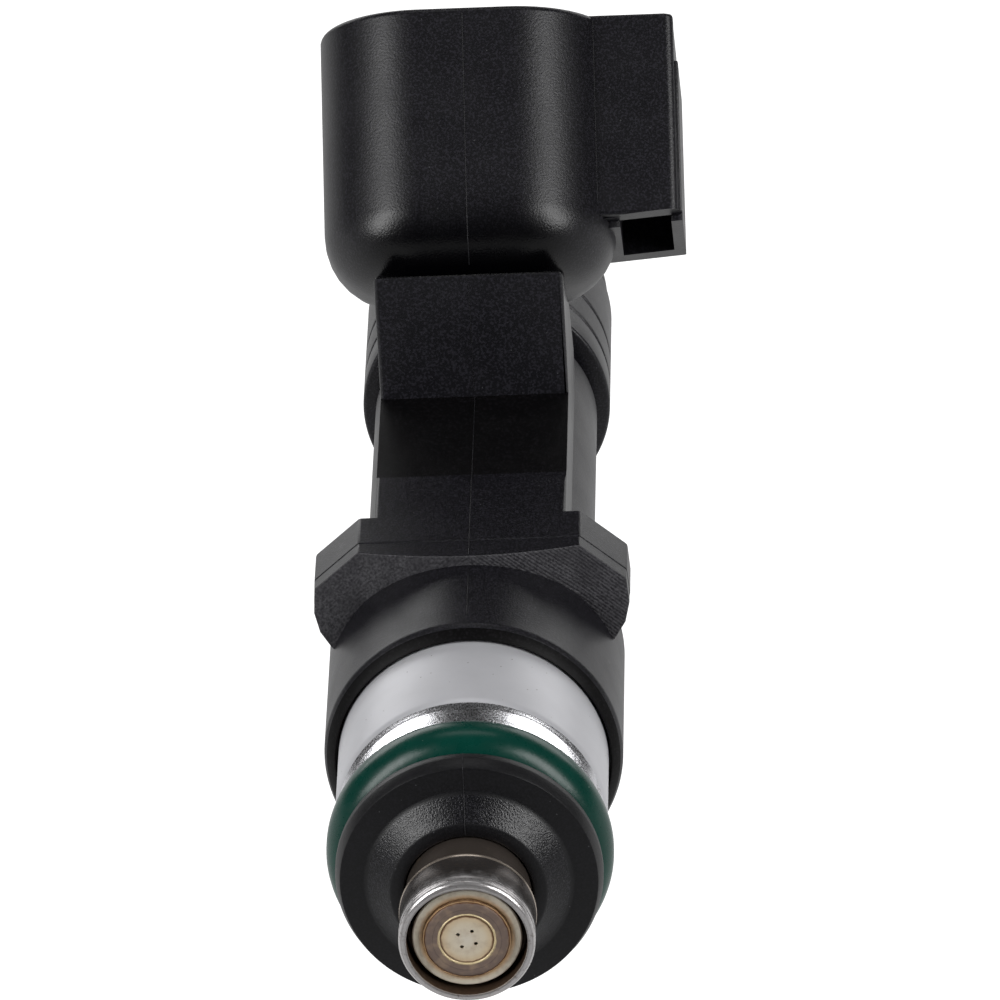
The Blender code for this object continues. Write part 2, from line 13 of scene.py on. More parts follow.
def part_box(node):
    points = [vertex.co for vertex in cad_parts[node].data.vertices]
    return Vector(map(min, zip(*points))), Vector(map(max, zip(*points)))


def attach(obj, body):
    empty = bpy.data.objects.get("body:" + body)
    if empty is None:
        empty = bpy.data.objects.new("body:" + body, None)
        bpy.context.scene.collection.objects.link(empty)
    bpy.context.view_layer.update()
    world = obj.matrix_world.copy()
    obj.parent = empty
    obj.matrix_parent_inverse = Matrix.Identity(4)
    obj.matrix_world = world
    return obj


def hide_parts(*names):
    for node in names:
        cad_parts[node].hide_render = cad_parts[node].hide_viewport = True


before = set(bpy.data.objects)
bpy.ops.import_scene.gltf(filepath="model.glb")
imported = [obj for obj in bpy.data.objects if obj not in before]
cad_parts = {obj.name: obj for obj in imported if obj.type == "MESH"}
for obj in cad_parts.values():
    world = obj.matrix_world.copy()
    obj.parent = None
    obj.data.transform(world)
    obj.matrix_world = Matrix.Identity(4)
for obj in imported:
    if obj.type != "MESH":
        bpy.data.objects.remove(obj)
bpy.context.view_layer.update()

MM = 0.001
BODY = "injector"
ROUND = 160                     # sides of the visible turned pieces
INNER = 96                      # sides of the small turned pieces
CORNER_STEPS = 16
CREASE = math.radians(35)       # edges sharper than this stay crisp
BODY_CREASE = math.radians(32)
PLATE_CREASE = math.radians(50)
BEVEL_ABOVE = math.radians(30)

# Stations and radii, as in the CAD
PLATE_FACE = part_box("orifice_plate")[0][1] / MM + 0.07
SEAL_STATION = -PLATE_FACE
TUBE_RADIUS = 3.78
SLEEVE_BORE = 3.30
SLEEVE_END = 33.5
TUBE_FRONT = 30.1
TIP_OUTER = 3.41
TIP_NECK_RADIUS = 3.15          # the sleeve necks in between its tip and the cap
TIP_NECK_END = 5.95
CAP_RADIUS = 6.74
RIM_BORE = 3.02
SEAT_POCKET_BORE = 2.80
SEAT_RADIUS = 2.745
SEAT_END = 4.2
SEAT_BORE = 1.65
SEAT_THROAT = 0.70
PLATE_RADIUS = 2.20
HOLE_CIRCLE = 0.51
HOLE_TURN = 58
HOLE_RADIUS = 0.105
HOUSING_RADIUS = 6.90
HOUSING_FRONT = 10.75
HOUSING_END = 28.3
HOUSING_INSIDE = 12.25
HOUSING_WALL = 1.0
SKIRT_RADIUS = 7.64
SKIRT_FRONT = 18.1
BODY_RADIUS = 5.96
COLLAR_RADIUS = 6.65
COLLAR_FRONT = 57.2
UNDERCUT_START = 56.0
UNDERCUT_RADIUS = 5.25
BODY_END = 68.4
BORE_RADIUS = TUBE_RADIUS + 0.1
POCKET_RADIUS = HOUSING_RADIUS + 0.05
BORE_STEP = 28.5                # the moulding's bore narrows from the housing to the tube
GROOVES = (59.5, 62.1)          # round the collar
LIP_END = 72.5
LIP_RADIUS = 5.7
LIP_THICKNESS = 1.3
SPINE_HALF_WIDTH = 4.95
SPINE_FRONT = 26.6
SPINE_REAR = 45.0
SPINE_TOP = 8.2
SPINE_FOOT = 3.0
SPINE_RECESS = 0.16
SPINE_STEP = 34.2               # the recess starts here and runs back to the neck
NECK_FRONT = 43.0
NECK_TOP = 15.25
NECK_STEP = 1.05
WING_FRONT = 25.8
WING_REAR = 29.6

# Socket and latch guide, in the socket's own axes: x, towards the far side, up out of the mouth
MOUTH_STATION = 56.7
MOUTH_HEIGHT = 22.3
TILT = math.radians(43.3)
SOCKET_WIDTH = 15.4
SOCKET_THICKNESS = 11.3
SOCKET_CORNER = 5.3
SOCKET_LENGTH = 14.4
SOCKET_WALL = 1.3
SOCKET_DEPTH = 11.0
BASE_FILLET = 3.55
LATCH_OUTER = 11.25
LATCH_NEAR_OUTER = 11.05
LATCH_NEAR = -3.3
LATCH_FAR = 4.3
LATCH_LENGTH = 11.1
LATCH_NEAR_LENGTH = 10.75
LATCH_PLATE = 1.15
LATCH_WALL = 0.60
LATCH_SHOULDER = 2.5            # the guide widens this far below the mouth
BLADE_SPACING = 6.0
BLADE_WIDTH = 1.5
BLADE_THICKNESS = 0.8
BLADE_TIP_DEPTH = 4.2
BLADE_ROOT_DEPTH = 13.0
LEAD_HEIGHT = 6.9               # of the terminals inside the spine
LEAD_FOOT = 5.0

# Camera: a long lens in front of the tip, looking down
CAMERA_TARGET = (2.409, 1.376, 19.185)
CAMERA_YAW = -2.401
CAMERA_ELEVATION = 27.918
CAMERA_ROLL = -3.141
CAMERA_DISTANCE = 596.15
CAMERA_LENS = 432.0

# Light: softbox powers in watts, and how bright the room and the floor are at each end
FLOOR_HEIGHT = -0.045
ROOM_FRONT = 0.10
ROOM_BACK = 0.80
FLOOR_FRONT = 0.05
FLOOR_BACK = 0.50
FLOOR_SWEEP = (-0.08, 0.05)     # in metres along Y
ROOM_SWEEP = (-0.45, 0.55)      # of the sky's direction along Y
LIGHT_DISTANCE = 0.55
FRONT_POWER = 2.0
BACK_POWER = 0.52
BACK_POWER_SLANT = 0.06         # taken from the right panel and added to the left one
TOP_POWER = 0.18

# Finishes
PLASTIC_SPECULAR = 0.45
RUBBER_SPECULAR = 0.35
CORNER_REACH = 5.0              # how far the shade spreads where the socket meets the neck
CUTTER_PITCH = 0.17             # between the lines on the clip wings
CUTTER_ACROSS = (0.657, 0.753)  # their x and z direction, mirrored on the other side
THREAD_PITCH = 0.22
THREADS_ROUND = 60


# ---------------------------------------------------------------- mesh helpers

def placed(x, station, z):
    return Vector((x, station - SEAL_STATION, z))


def socket_frame():
    mouth = Matrix.Translation(placed(0, MOUTH_STATION, MOUTH_HEIGHT))
    return mouth @ Matrix.Rotation(-TILT, 4, "X")


def socket_point(x, far, up):
    return socket_frame() @ Vector((x, far, up))


def across_socket(x, up, far):
    return socket_point(x, far, up)


def in_scene(name, data):
    obj = bpy.data.objects.new(name, data)
    bpy.context.scene.collection.objects.link(obj)
    return obj


def add_object(name, bm):
    """Turn a bmesh in millimetres into a smooth object in metres."""
    bmesh.ops.recalc_face_normals(bm, faces=bm.faces)
    bmesh.ops.scale(bm, vec=(MM, MM, MM), verts=bm.verts)
    mesh = bpy.data.meshes.new(name)
    bm.to_mesh(mesh)
    bm.free()
    mesh.shade_smooth()
    mesh.set_sharp_from_angle(angle=CREASE)
    return in_scene(name, mesh)


def bridge(bm, lower, upper):
    for i in range(len(lower)):
        j = (i + 1) % len(lower)
        bm.faces.new((lower[i], lower[j], upper[j], upper[i]))


def turned(name, profile, sides=ROUND):
    """Revolve a closed (station, radius) profile about the axis; points on the axis are merged."""
    bm = bmesh.new()
    rings = []
    for station, radius in profile:
        if radius == 0:
            rings.append([bm.verts.new(placed(0, station, 0))] * sides)
            continue
        rings.append([bm.verts.new(placed(radius * math.sin(2 * math.pi * k / sides), station,
                                          radius * math.cos(2 * math.pi * k / sides)))
                      for k in range(sides)])
    for lower, upper in zip(rings, rings[1:] + rings[:1]):
        for k in range(sides):
            corners = [lower[k], lower[(k + 1) % sides], upper[(k + 1) % sides], upper[k]]
            unique = list(dict.fromkeys(corners))
            if len(unique) > 2:
                bm.faces.new(unique)
    return add_object(name, bm)


def prism(name, outline, low, high, to_point):
    bm = bmesh.new()
    rings = [[bm.verts.new(to_point(a, b, depth)) for a, b in outline] for depth in (low, high)]
    for ring in rings:
        bm.faces.new(ring)
    bridge(bm, *rings)
    return add_object(name, bm)


def side_view(station, z, x):
    return placed(x, station, z)


def end_view(x, z, station):
    return placed(x, station, z)


def arc(centre, radius, start, end, steps):
    """Points of an arc, angles in degrees."""
    angles = [math.radians(start + (end - start) * i / steps) for i in range(steps + 1)]
    return [(centre[0] + radius * math.cos(a), centre[1] + radius * math.sin(a)) for a in angles]


def rounded_rectangle(width, thickness, corner):
    points = []
    for quadrant, (sx, sy) in enumerate(((1, 1), (-1, 1), (-1, -1), (1, -1))):
        centre = (sx * (width / 2 - corner), sy * (thickness / 2 - corner))
        points += arc(centre, corner, quadrant * 90, quadrant * 90 + 90, CORNER_STEPS)
    return points


def loft(name, sections):
    """Skin a stack of rounded rectangles; each section is (up, width, thickness, corner)."""
    bm = bmesh.new()
    rings = []
    for up, width, thickness, corner in sections:
        outline = rounded_rectangle(width, thickness, corner)
        rings.append([bm.verts.new(socket_point(x, far, up)) for x, far in outline])
    for lower, upper in zip(rings, rings[1:]):
        bridge(bm, lower, upper)
    bm.faces.new(rings[0])
    bm.faces.new(rings[-1])
    return add_object(name, bm)


def box(name, low, high, to_point=placed):
    (x0, a0, b0), (x1, a1, b1) = low, high
    return prism(name, [(x0, a0), (x1, a0), (x1, a1), (x0, a1)], b0, b1, to_point)


def bevelled(obj, width, segments=3):
    modifier = obj.modifiers.new("bevel", "BEVEL")
    modifier.width = width * MM
    modifier.segments = segments
    modifier.limit_method = "ANGLE"
    modifier.angle_limit = BEVEL_ABOVE
    return bake(obj)


def bake(obj):
    """Replace an object's mesh by its evaluated one."""
    graph = bpy.context.evaluated_depsgraph_get()
    mesh = bpy.data.meshes.new_from_object(obj.evaluated_get(graph))
    obj.modifiers.clear()
    obj.data = mesh
    return obj


def combine(target, tools, operation):
    """Boolean a list of tools into the target and throw the tools away."""
    for tool in tools:
        modifier = target.modifiers.new(tool.name, "BOOLEAN")
        modifier.object = tool
        modifier.operation = operation
        modifier.solver = "EXACT"
        bake(target)
        bpy.data.objects.remove(tool, do_unlink=True)
    return target


def finish_shading(obj):
    """Crisp flats beside rounded edges: sharp creases by angle, then face-weighted normals."""
    obj.data.shade_smooth()
    obj.data.set_sharp_from_angle(angle=BODY_CREASE)
    modifier = obj.modifiers.new("weighted", "WEIGHTED_NORMAL")
    modifier.keep_sharp = True


def wire(name, points, radius):
    """Thin bead along a list of millimetre points, closed at its ends."""
    curve = bpy.data.curves.new(name, "CURVE")
    curve.dimensions = "3D"
    curve.bevel_depth = radius * MM
    curve.bevel_resolution = 2
    curve.use_fill_caps = True
    spline = curve.splines.new("POLY")
    spline.points.add(len(points) - 1)
    for target, point in zip(spline.points, points):
        target.co = (*(Vector(point) * MM), 1)
    return in_scene(name, curve)


# ---------------------------------------------------------------- material helpers

class Look:
    """One procedural material: a Principled shader and short helpers that add nodes to it."""

    def __init__(self, name, colour, roughness, metallic=0.0):
        self.material = bpy.data.materials.new(name)
        self.material.use_nodes = True
        self.tree = self.material.node_tree
        self.shader = self.tree.nodes["Principled BSDF"]
        self.shader.inputs["Base Color"].default_value = (*colour, 1)
        self.shader.inputs["Roughness"].default_value = roughness
        self.shader.inputs["Metallic"].default_value = metallic
        self.coordinates = self.tree.nodes.new("ShaderNodeTexCoord").outputs["Object"]
        self.normal = None

    def link(self, output, node_input):
        self.tree.links.new(output, node_input)
        return output

    def math(self, operation, a, b=0.0, c=0.0):
        node = self.tree.nodes.new("ShaderNodeMath")
        node.operation = operation
        for socket, value in zip(node.inputs, (a, b, c)):
            if isinstance(value, (int, float)):
                socket.default_value = value
            else:
                self.link(value, socket)
        return node.outputs[0]

    def noise(self, size_mm, detail, roughness=0.5, vector=None):
        """Noise whose features are about size_mm across."""
        node = self.tree.nodes.new("ShaderNodeTexNoise")
        node.inputs["Scale"].default_value = 1 / (size_mm * MM)
        node.inputs["Detail"].default_value = detail
        node.inputs["Roughness"].default_value = roughness
        self.link(vector or self.coordinates, node.inputs["Vector"])
        return node.outputs["Fac"]

    def cells(self, size_mm):
        """Distance to the nearest of scattered points about size_mm apart, in units of size_mm."""
        node = self.tree.nodes.new("ShaderNodeTexVoronoi")
        node.inputs["Scale"].default_value = 1 / (size_mm * MM)
        self.link(self.coordinates, node.inputs["Vector"])
        return node.outputs["Distance"]

    def spread(self, value, low, high, out_low=0.0, out_high=1.0):
        node = self.tree.nodes.new("ShaderNodeMapRange")
        node.interpolation_type = "SMOOTHSTEP"
        self.link(value, node.inputs["Value"])
        for name, number in (("From Min", low), ("From Max", high),
                             ("To Min", out_low), ("To Max", out_high)):
            node.inputs[name].default_value = number
        return node.outputs[0]

    def mix(self, factor, first, second):
        """Colour between two; each is a colour or a node output."""
        node = self.tree.nodes.new("ShaderNodeMix")
        node.data_type = "RGBA"
        self.link(factor, node.inputs["Factor"])
        for socket, value in ((node.inputs[6], first), (node.inputs[7], second)):
            if isinstance(value, tuple):
                socket.default_value = (*value, 1)
            else:
                self.link(value, socket)
        return node.outputs[2]

    def ramp(self, value, stops):
        """Colour ramp; each stop is (position, colour)."""
        node = self.tree.nodes.new("ShaderNodeValToRGB")
        elements = node.color_ramp.elements
        while len(elements) < len(stops):
            elements.new(0.5)
        for element, (position, colour) in zip(elements, stops):
            element.position = position
            element.color = (*colour, 1)
        self.link(value, node.inputs["Fac"])
        return node.outputs["Color"]

    def xyz(self):
        """The point's place on the object, in metres."""
        node = self.tree.nodes.new("ShaderNodeSeparateXYZ")
        self.link(self.coordinates, node.inputs[0])
        return node.outputs

    def axis_parts(self):
        """(distance along the axis, distance from the axis), both in metres."""
        x, y, z = self.xyz()
        radius = self.math("SQRT", self.math("ADD", self.math("MULTIPLY", x, x),
                                             self.math("MULTIPLY", z, z)))
        return y, radius

    def corner_shade(self, station, height, reach, half_width):
        """1 in an inside corner that runs across the part, fading to 0 at its reach; all in mm."""
        x, y, z = (self.math("MULTIPLY", output, 1 / MM) for output in self.xyz())
        back = self.math("ADD", y, SEAL_STATION - station)
        above = self.math("ADD", z, -height)
        gap = self.math("SQRT", self.math("ADD", self.math("MULTIPLY", back, back),
                                          self.math("MULTIPLY", above, above)))
        inside = self.spread(self.math("ABSOLUTE", x), half_width - 1.0, half_width + 2.0, 1.0, 0.0)
        return self.math("MULTIPLY", self.spread(gap, 0.3 * reach, reach, 1.0, 0.0), inside)

    def lathe_lines(self, size_mm):
        """Fine rings round the axis, as a turning tool leaves them."""
        y, radius = self.axis_parts()
        node = self.tree.nodes.new("ShaderNodeCombineXYZ")
        self.link(y, node.inputs[0])
        self.link(radius, node.inputs[1])
        return self.noise(size_mm, 3.0, 0.6, node.outputs[0])

    def bump(self, height, depth_mm):
        node = self.tree.nodes.new("ShaderNodeBump")
        node.inputs["Strength"].default_value = 1.0
        node.inputs["Distance"].default_value = depth_mm * MM
        self.link(height, node.inputs["Height"])
        if self.normal is not None:
            self.link(self.normal, node.inputs["Normal"])
        self.normal = node.outputs["Normal"]
        self.link(self.normal, self.shader.inputs["Normal"])

    def colour(self, output):
        self.link(output, self.shader.inputs["Base Color"])

    def roughness(self, output):
        self.link(output, self.shader.inputs["Roughness"])


def moulded_plastic(name, dark, pale, grain_mm, grain_depth_mm, roughness, corner=None):
    """Black glass-filled nylon: fine grain, cloudy gloss, pale specks and a few rubbed patches.

    A corner, as (station, height, reach, half width), gets painted shade: darker and smoother."""
    look = Look(name, dark, roughness)
    clouds = look.noise(2.6, 3.0)
    grain = look.noise(grain_mm, 1.0, 0.4)
    specks = look.spread(look.cells(0.75), 0.030, 0.055, 1.0, 0.0)
    rubbed = look.spread(look.noise(1.1, 4.0, 0.7), 0.62, 0.75)
    base = look.mix(clouds, dark, tuple(c * 1.4 for c in dark))
    base = look.mix(look.spread(grain, 0.45, 0.68), base, pale)
    base = look.mix(specks, base, (0.07, 0.07, 0.075))
    uneven = look.math("MULTIPLY_ADD", clouds, 0.12, roughness - 0.06)
    rough = look.math("MULTIPLY_ADD", rubbed, -0.06, uneven)
    look.bump(look.noise(0.9, 2.0), 0.004)
    look.bump(grain, grain_depth_mm)
    look.shader.inputs["Specular IOR Level"].default_value = PLASTIC_SPECULAR
    if corner:
        # painted shade in the inside corner: darker colour and smoother gloss
        shade = look.corner_shade(*corner)
        base = look.mix(shade, base, tuple(c * 0.4 for c in dark))
        rough = look.math("MULTIPLY_ADD", shade, -0.14, rough)
    look.colour(base)
    look.roughness(rough)
    return look.material


def painted_shade_plastic(name, roughness, specular):
    """Smoother nylon with little grain, darkened as painted shade for a gap and a recess."""
    dark, pale = (0.0012, 0.0010, 0.0012), (0.0075, 0.0066, 0.0080)
    look = Look(name, dark, roughness)
    grain = look.noise(0.14, 2.0, 0.5)
    look.colour(look.mix(look.spread(grain, 0.50, 0.72), dark, pale))
    look.roughness(look.math("MULTIPLY_ADD", look.noise(1.2, 3.0), 0.16, roughness - 0.08))
    look.bump(grain, 0.004)
    look.shader.inputs["Specular IOR Level"].default_value = specular
    return look.material


def milled_plastic_with_painted_light():
    """Front of the clip wings: paler as painted light, with fine straight cutter lines along the
    chamfers.
    """
    look = Look("look_milled_painted_light", (0.05, 0.05, 0.055), 0.5)
    x, _, z = look.xyz()
    across = look.math("MULTIPLY", look.math("ABSOLUTE", x), CUTTER_ACROSS[0])
    across = look.math("MULTIPLY_ADD", z, CUTTER_ACROSS[1], across)
    lines = look.math("SINE", look.math("MULTIPLY", across, 2 * math.pi / (CUTTER_PITCH * MM)))
    lines = look.math("MULTIPLY", lines, look.spread(x, -0.002, 0.002, 0.10, 0.45))
    broken = look.math("MULTIPLY_ADD", look.noise(0.14, 2.0), 3.6, -1.8)
    marks = look.math("ADD", lines, broken)
    clouds = look.noise(1.6, 3.0)
    # painted light: the wing fronts' paler tone; the cutter lines are their own marks
    base = look.mix(look.spread(marks, -1.0, 1.1), (0.020, 0.019, 0.023), (0.088, 0.086, 0.094))
    look.colour(look.mix(look.spread(clouds, 0.45, 0.70, 0.0, 0.5), base, (0.024, 0.023, 0.027)))
    look.roughness(look.spread(clouds, 0.3, 0.7, 0.44, 0.56))
    look.bump(marks, 0.012)
    return look.material


def turned_steel(name, colour, roughness, line_depth_mm=0.0015, stain=0.0, metallic=1.0):
    """Bright steel with turning lines, faint cloudiness and small pits."""
    look = Look(name, colour, roughness, metallic)
    lines = look.lathe_lines(0.07)
    clouds = look.noise(1.8, 3.0)
    darker = tuple(c * 0.86 for c in colour)
    base = look.mix(clouds, colour, darker)
    if stain:
        base = look.mix(look.spread(look.noise(0.8, 4.0, 0.7), 0.60, 0.78, 0.0, stain), base,
                        (0.30, 0.22, 0.15))
    pits = look.spread(look.cells(0.7), 0.03, 0.06, 1.0, 0.0)
    look.colour(look.mix(pits, base, (0.12, 0.11, 0.10)))
    look.roughness(look.math("MULTIPLY_ADD", lines, 0.10, roughness - 0.05))
    look.bump(lines, line_depth_mm)
    return look.material


def tip_steel():
    """Valve sleeve: bright at the rim, dark brown towards the cap as painted shade and reflection
    of the cap over a brown tint, with a painted highlight on the ridge.
    """
    look = Look("look_valve_tube", (0.60, 0.58, 0.58), 0.24, 0.72)
    lines = look.lathe_lines(0.09)
    smudge = look.noise(0.45, 4.0, 0.65)
    # painted shade and reflection of the cap: bright near the rim, dark brown towards the cap
    along = look.math("MULTIPLY_ADD", look.axis_parts()[0], 1 / MM, SEAL_STATION)
    reach = look.math("MULTIPLY_ADD", smudge, 1.8, along)
    base = look.mix(look.spread(reach, 0.8, 2.1, 0.0, 0.94), (0.64, 0.62, 0.62),
                    (0.055, 0.046, 0.042))
    base = look.mix(look.spread(look.noise(0.16, 3.0, 0.7), 0.54, 0.70, 0.0, 0.6), base,
                    (0.17, 0.13, 0.10))
    base = look.mix(look.spread(lines, 0.50, 0.70, 0.0, 0.5), base, (0.10, 0.085, 0.08))
    # painted highlight: a paler band along the ridge
    ridge = look.math("MULTIPLY", look.spread(along, 2.38, 2.43),
                      look.spread(along, 2.58, 2.63, 1.0, 0.0))
    look.colour(look.mix(look.math("MULTIPLY", ridge, 0.75), base, (0.62, 0.53, 0.45)))
    look.roughness(look.math("MULTIPLY_ADD", lines, 0.12, 0.19))
    look.bump(lines, 0.006)
    return look.material


def rolled_steel():
    """The housing's rolled shoulder: bright metal broken up by fine press marks."""
    look = Look("look_rolled_shoulder", (0.70, 0.70, 0.72), 0.18, 1.0)
    marks = look.noise(0.06, 3.0, 0.7)
    patches = look.noise(0.9, 3.0)
    rough = look.math("MULTIPLY", marks, patches)
    look.colour(look.mix(look.spread(rough, 0.26, 0.45), (0.80, 0.80, 0.83), (0.34, 0.33, 0.34)))
    look.roughness(look.spread(marks, 0.3, 0.7, 0.16, 0.36))
    look.bump(marks, 0.0028)
    look.bump(look.lathe_lines(0.25), 0.020)
    return look.material


def seal_rubber(name, dark, light, roughness):
    """Moulded seal rubber: soft colour clouds, a faint bloom and dust specks."""
    look = Look(name, dark, roughness)
    clouds = look.noise(1.4, 3.0)
    specks = look.spread(look.cells(0.9), 0.025, 0.05, 1.0, 0.0)
    base = look.mix(clouds, dark, light)
    look.colour(look.mix(specks, base, (0.35, 0.45, 0.40)))
    look.roughness(look.math("MULTIPLY_ADD", look.noise(0.5, 3.0), 0.14, roughness - 0.07))
    look.bump(look.noise(0.25, 2.0), 0.004)
    look.shader.inputs["Specular IOR Level"].default_value = RUBBER_SPECULAR
    return look.material


def spray_face(name):
    """Spray plate and seat face: cream matt steel, a grey weld ring, straw-brown heat tint."""
    look = Look(name, (0.70, 0.66, 0.54), 0.42, 0.25)
    cream, pale, straw = (0.76, 0.66, 0.50), (0.78, 0.72, 0.61), (0.66, 0.42, 0.21)
    brown, weld, gold = (0.15, 0.065, 0.03), (0.20, 0.145, 0.120), (0.78, 0.64, 0.38)
    radius = look.axis_parts()[1]
    wobble = look.math("MULTIPLY_ADD", look.noise(0.30, 3.0), 0.00010, -0.00005)
    edge = 0.003
    place = look.math("MULTIPLY", look.math("ADD", radius, wobble), 1 / edge)
    rings = [(0.0, pale), (0.9, cream), (1.22, (0.72, 0.56, 0.36)), (1.30, brown), (1.33, brown),
             (1.36, gold), (1.44, gold), (1.49, weld), (1.70, weld), (1.72, (0.12, 0.09, 0.08)),
             (1.75, weld), (2.06, weld), (2.10, brown), (2.13, brown), (2.16, straw),
             (2.21, brown), (2.25, straw), (2.36, (0.90, 0.68, 0.46)), (2.46, (0.95, 0.85, 0.68)),
             (2.66, (0.93, 0.85, 0.71)), (3.0, (0.55, 0.51, 0.45))]
    base = look.ramp(place, [(r * MM / edge, colour) for r, colour in rings])
    clouds = look.noise(0.5, 3.0)
    look.colour(look.mix(look.spread(clouds, 0.42, 0.75, 0.0, 0.40), base, (0.45, 0.33, 0.22)))
    look.roughness(look.spread(look.noise(0.08, 2.0), 0.3, 0.7, 0.36, 0.52))
    look.bump(look.noise(0.06, 2.0), 0.003)
    return look.material


def plain_grain(name, colour, roughness, metallic, grain_mm, depth_mm):
    """Simple two-tone grained finish for pieces that sit inside."""
    look = Look(name, colour, roughness, metallic)
    grain = look.noise(grain_mm, 3.0, 0.6)
    darker = tuple(c * 0.7 for c in colour)
    look.colour(look.mix(look.spread(grain, 0.3, 0.7), colour, darker))
    look.roughness(look.spread(grain, 0.3, 0.7, roughness - 0.06, roughness + 0.08))
    look.bump(grain, depth_mm)
    return look.material


def woven_mesh(name):
    """Filter cloth: two crossed sets of threads, round and along the tube."""
    look = Look(name, (0.62, 0.58, 0.48), 0.6)
    x, y, z = look.xyz()
    turn = look.math("ARCTAN2", x, z)
    along = look.math("SINE", look.math("MULTIPLY", y, 2 * math.pi / (THREAD_PITCH * MM)))
    across = look.math("SINE", look.math("MULTIPLY", turn, THREADS_ROUND))
    threads = look.math("MAXIMUM", along, across)
    look.colour(look.mix(look.spread(threads, -0.2, 0.9), (0.10, 0.09, 0.07), (0.66, 0.62, 0.52)))
    look.bump(threads, 0.03)
    return look.material


# ---------------------------------------------------------------- moulded body

def body_shell():
    """The turned part of the moulding, with its bore: skirt, mid body and grooved rear collar."""
    skirt = [(SKIRT_FRONT, POCKET_RADIUS), (SKIRT_FRONT, 7.08), (SKIRT_FRONT + 0.03, 7.12),
             (SKIRT_FRONT + 0.48, 7.50)]
    skirt += arc((19.0, SKIRT_RADIUS - 0.55), 0.55, 130, 90, 6)[1:]
    skirt += arc((WING_REAR - 0.2, SKIRT_RADIUS - 0.2), 0.2, 90, 0, 4)
    skirt += arc((WING_REAR + 0.15, BODY_RADIUS + 0.15), 0.15, 180, 270, 4)
    collar = arc((UNDERCUT_START - 0.1, BODY_RADIUS - 0.1), 0.1, 90, 0, 4)
    collar += [(UNDERCUT_START, UNDERCUT_RADIUS), (COLLAR_FRONT, UNDERCUT_RADIUS)]
    collar += arc((COLLAR_FRONT + 0.2, COLLAR_RADIUS - 0.2), 0.2, 180, 90, 4)
    for groove in GROOVES:
        collar += [(groove - 0.28, COLLAR_RADIUS), (groove - 0.20, COLLAR_RADIUS - 0.03),
                   (groove - 0.10, COLLAR_RADIUS - 0.17), (groove + 0.10, COLLAR_RADIUS - 0.17),
                   (groove + 0.20, COLLAR_RADIUS - 0.03), (groove + 0.28, COLLAR_RADIUS)]
    rear = arc((BODY_END - 0.9, COLLAR_RADIUS - 0.9), 0.9, 90, 0, 8)
    inner = [(BODY_END, BORE_RADIUS + 0.1), (BODY_END - 0.1, BORE_RADIUS),
             (BORE_STEP, BORE_RADIUS), (BORE_STEP, POCKET_RADIUS)]
    return turned("overmold_skin", skirt + collar + rear + inner)


def flange_outline(inset):
    """End view of the clip wings, drawn in by an inset."""
    right = [(5.7 - inset * 0.6, SPINE_TOP - inset), (8.05 - inset, 6.15 - inset * 0.6),
             (8.15 - inset, 4.72), (7.9 - inset, 3.6), (7.3 - inset, 2.6), (5.0, 1.5)]
    return right + [(-x, z) for x, z in reversed(right)]


def bowed_lip():
    """Front plate of the flange; it bows forward over the skirt."""
    reach, bow, half = 8.4, 0.75, 5.6
    front = [(x, WING_FRONT - bow * max(0.0, 1 - (x / half) ** 2))
             for x in (-reach + 2 * reach * i / 48 for i in range(49))]
    outline = front + [(reach, WING_FRONT + 1.0), (-reach, WING_FRONT + 1.0)]
    lip = prism("flange_lip", outline, 0.5, 9.5, placed)
    edge = prism("lip_edge", flange_outline(0.03), WING_FRONT - 2, WING_FRONT + 2, end_view)
    return combine(lip, [edge], "INTERSECT")


def socket_outer():
    sections = []
    steps = 8
    for step in range(steps + 1):
        angle = math.pi / 2 * step / steps
        inset = BASE_FILLET * (1 - math.sin(angle))
        up = -SOCKET_LENGTH + BASE_FILLET * (1 - math.cos(angle))
        sections.append((up, SOCKET_WIDTH - 2 * inset, SOCKET_THICKNESS - 2 * inset,
                         SOCKET_CORNER - inset))
    edge = 0.34
    for step in range(steps + 1):
        angle = math.pi / 2 * step / steps
        inset = edge * (1 - math.cos(angle))
        sections.append((-edge + edge * math.sin(angle), SOCKET_WIDTH - 2 * inset,
                         SOCKET_THICKNESS - 2 * inset, SOCKET_CORNER - inset))
    return loft("socket_outer", sections)


def socket_hollow():
    width, thickness = SOCKET_WIDTH - 2 * SOCKET_WALL, SOCKET_THICKNESS - 2 * SOCKET_WALL
    corner = SOCKET_CORNER - SOCKET_WALL
    sections = [(-SOCKET_DEPTH, width - 0.6, thickness - 0.6, corner - 0.3),
                (-SOCKET_DEPTH + 0.3, width, thickness, corner), (-0.7, width, thickness, corner)]
    sections.append((0.2, width + 0.6, thickness + 0.6, corner + 0.3))
    return loft("socket_hollow", sections)


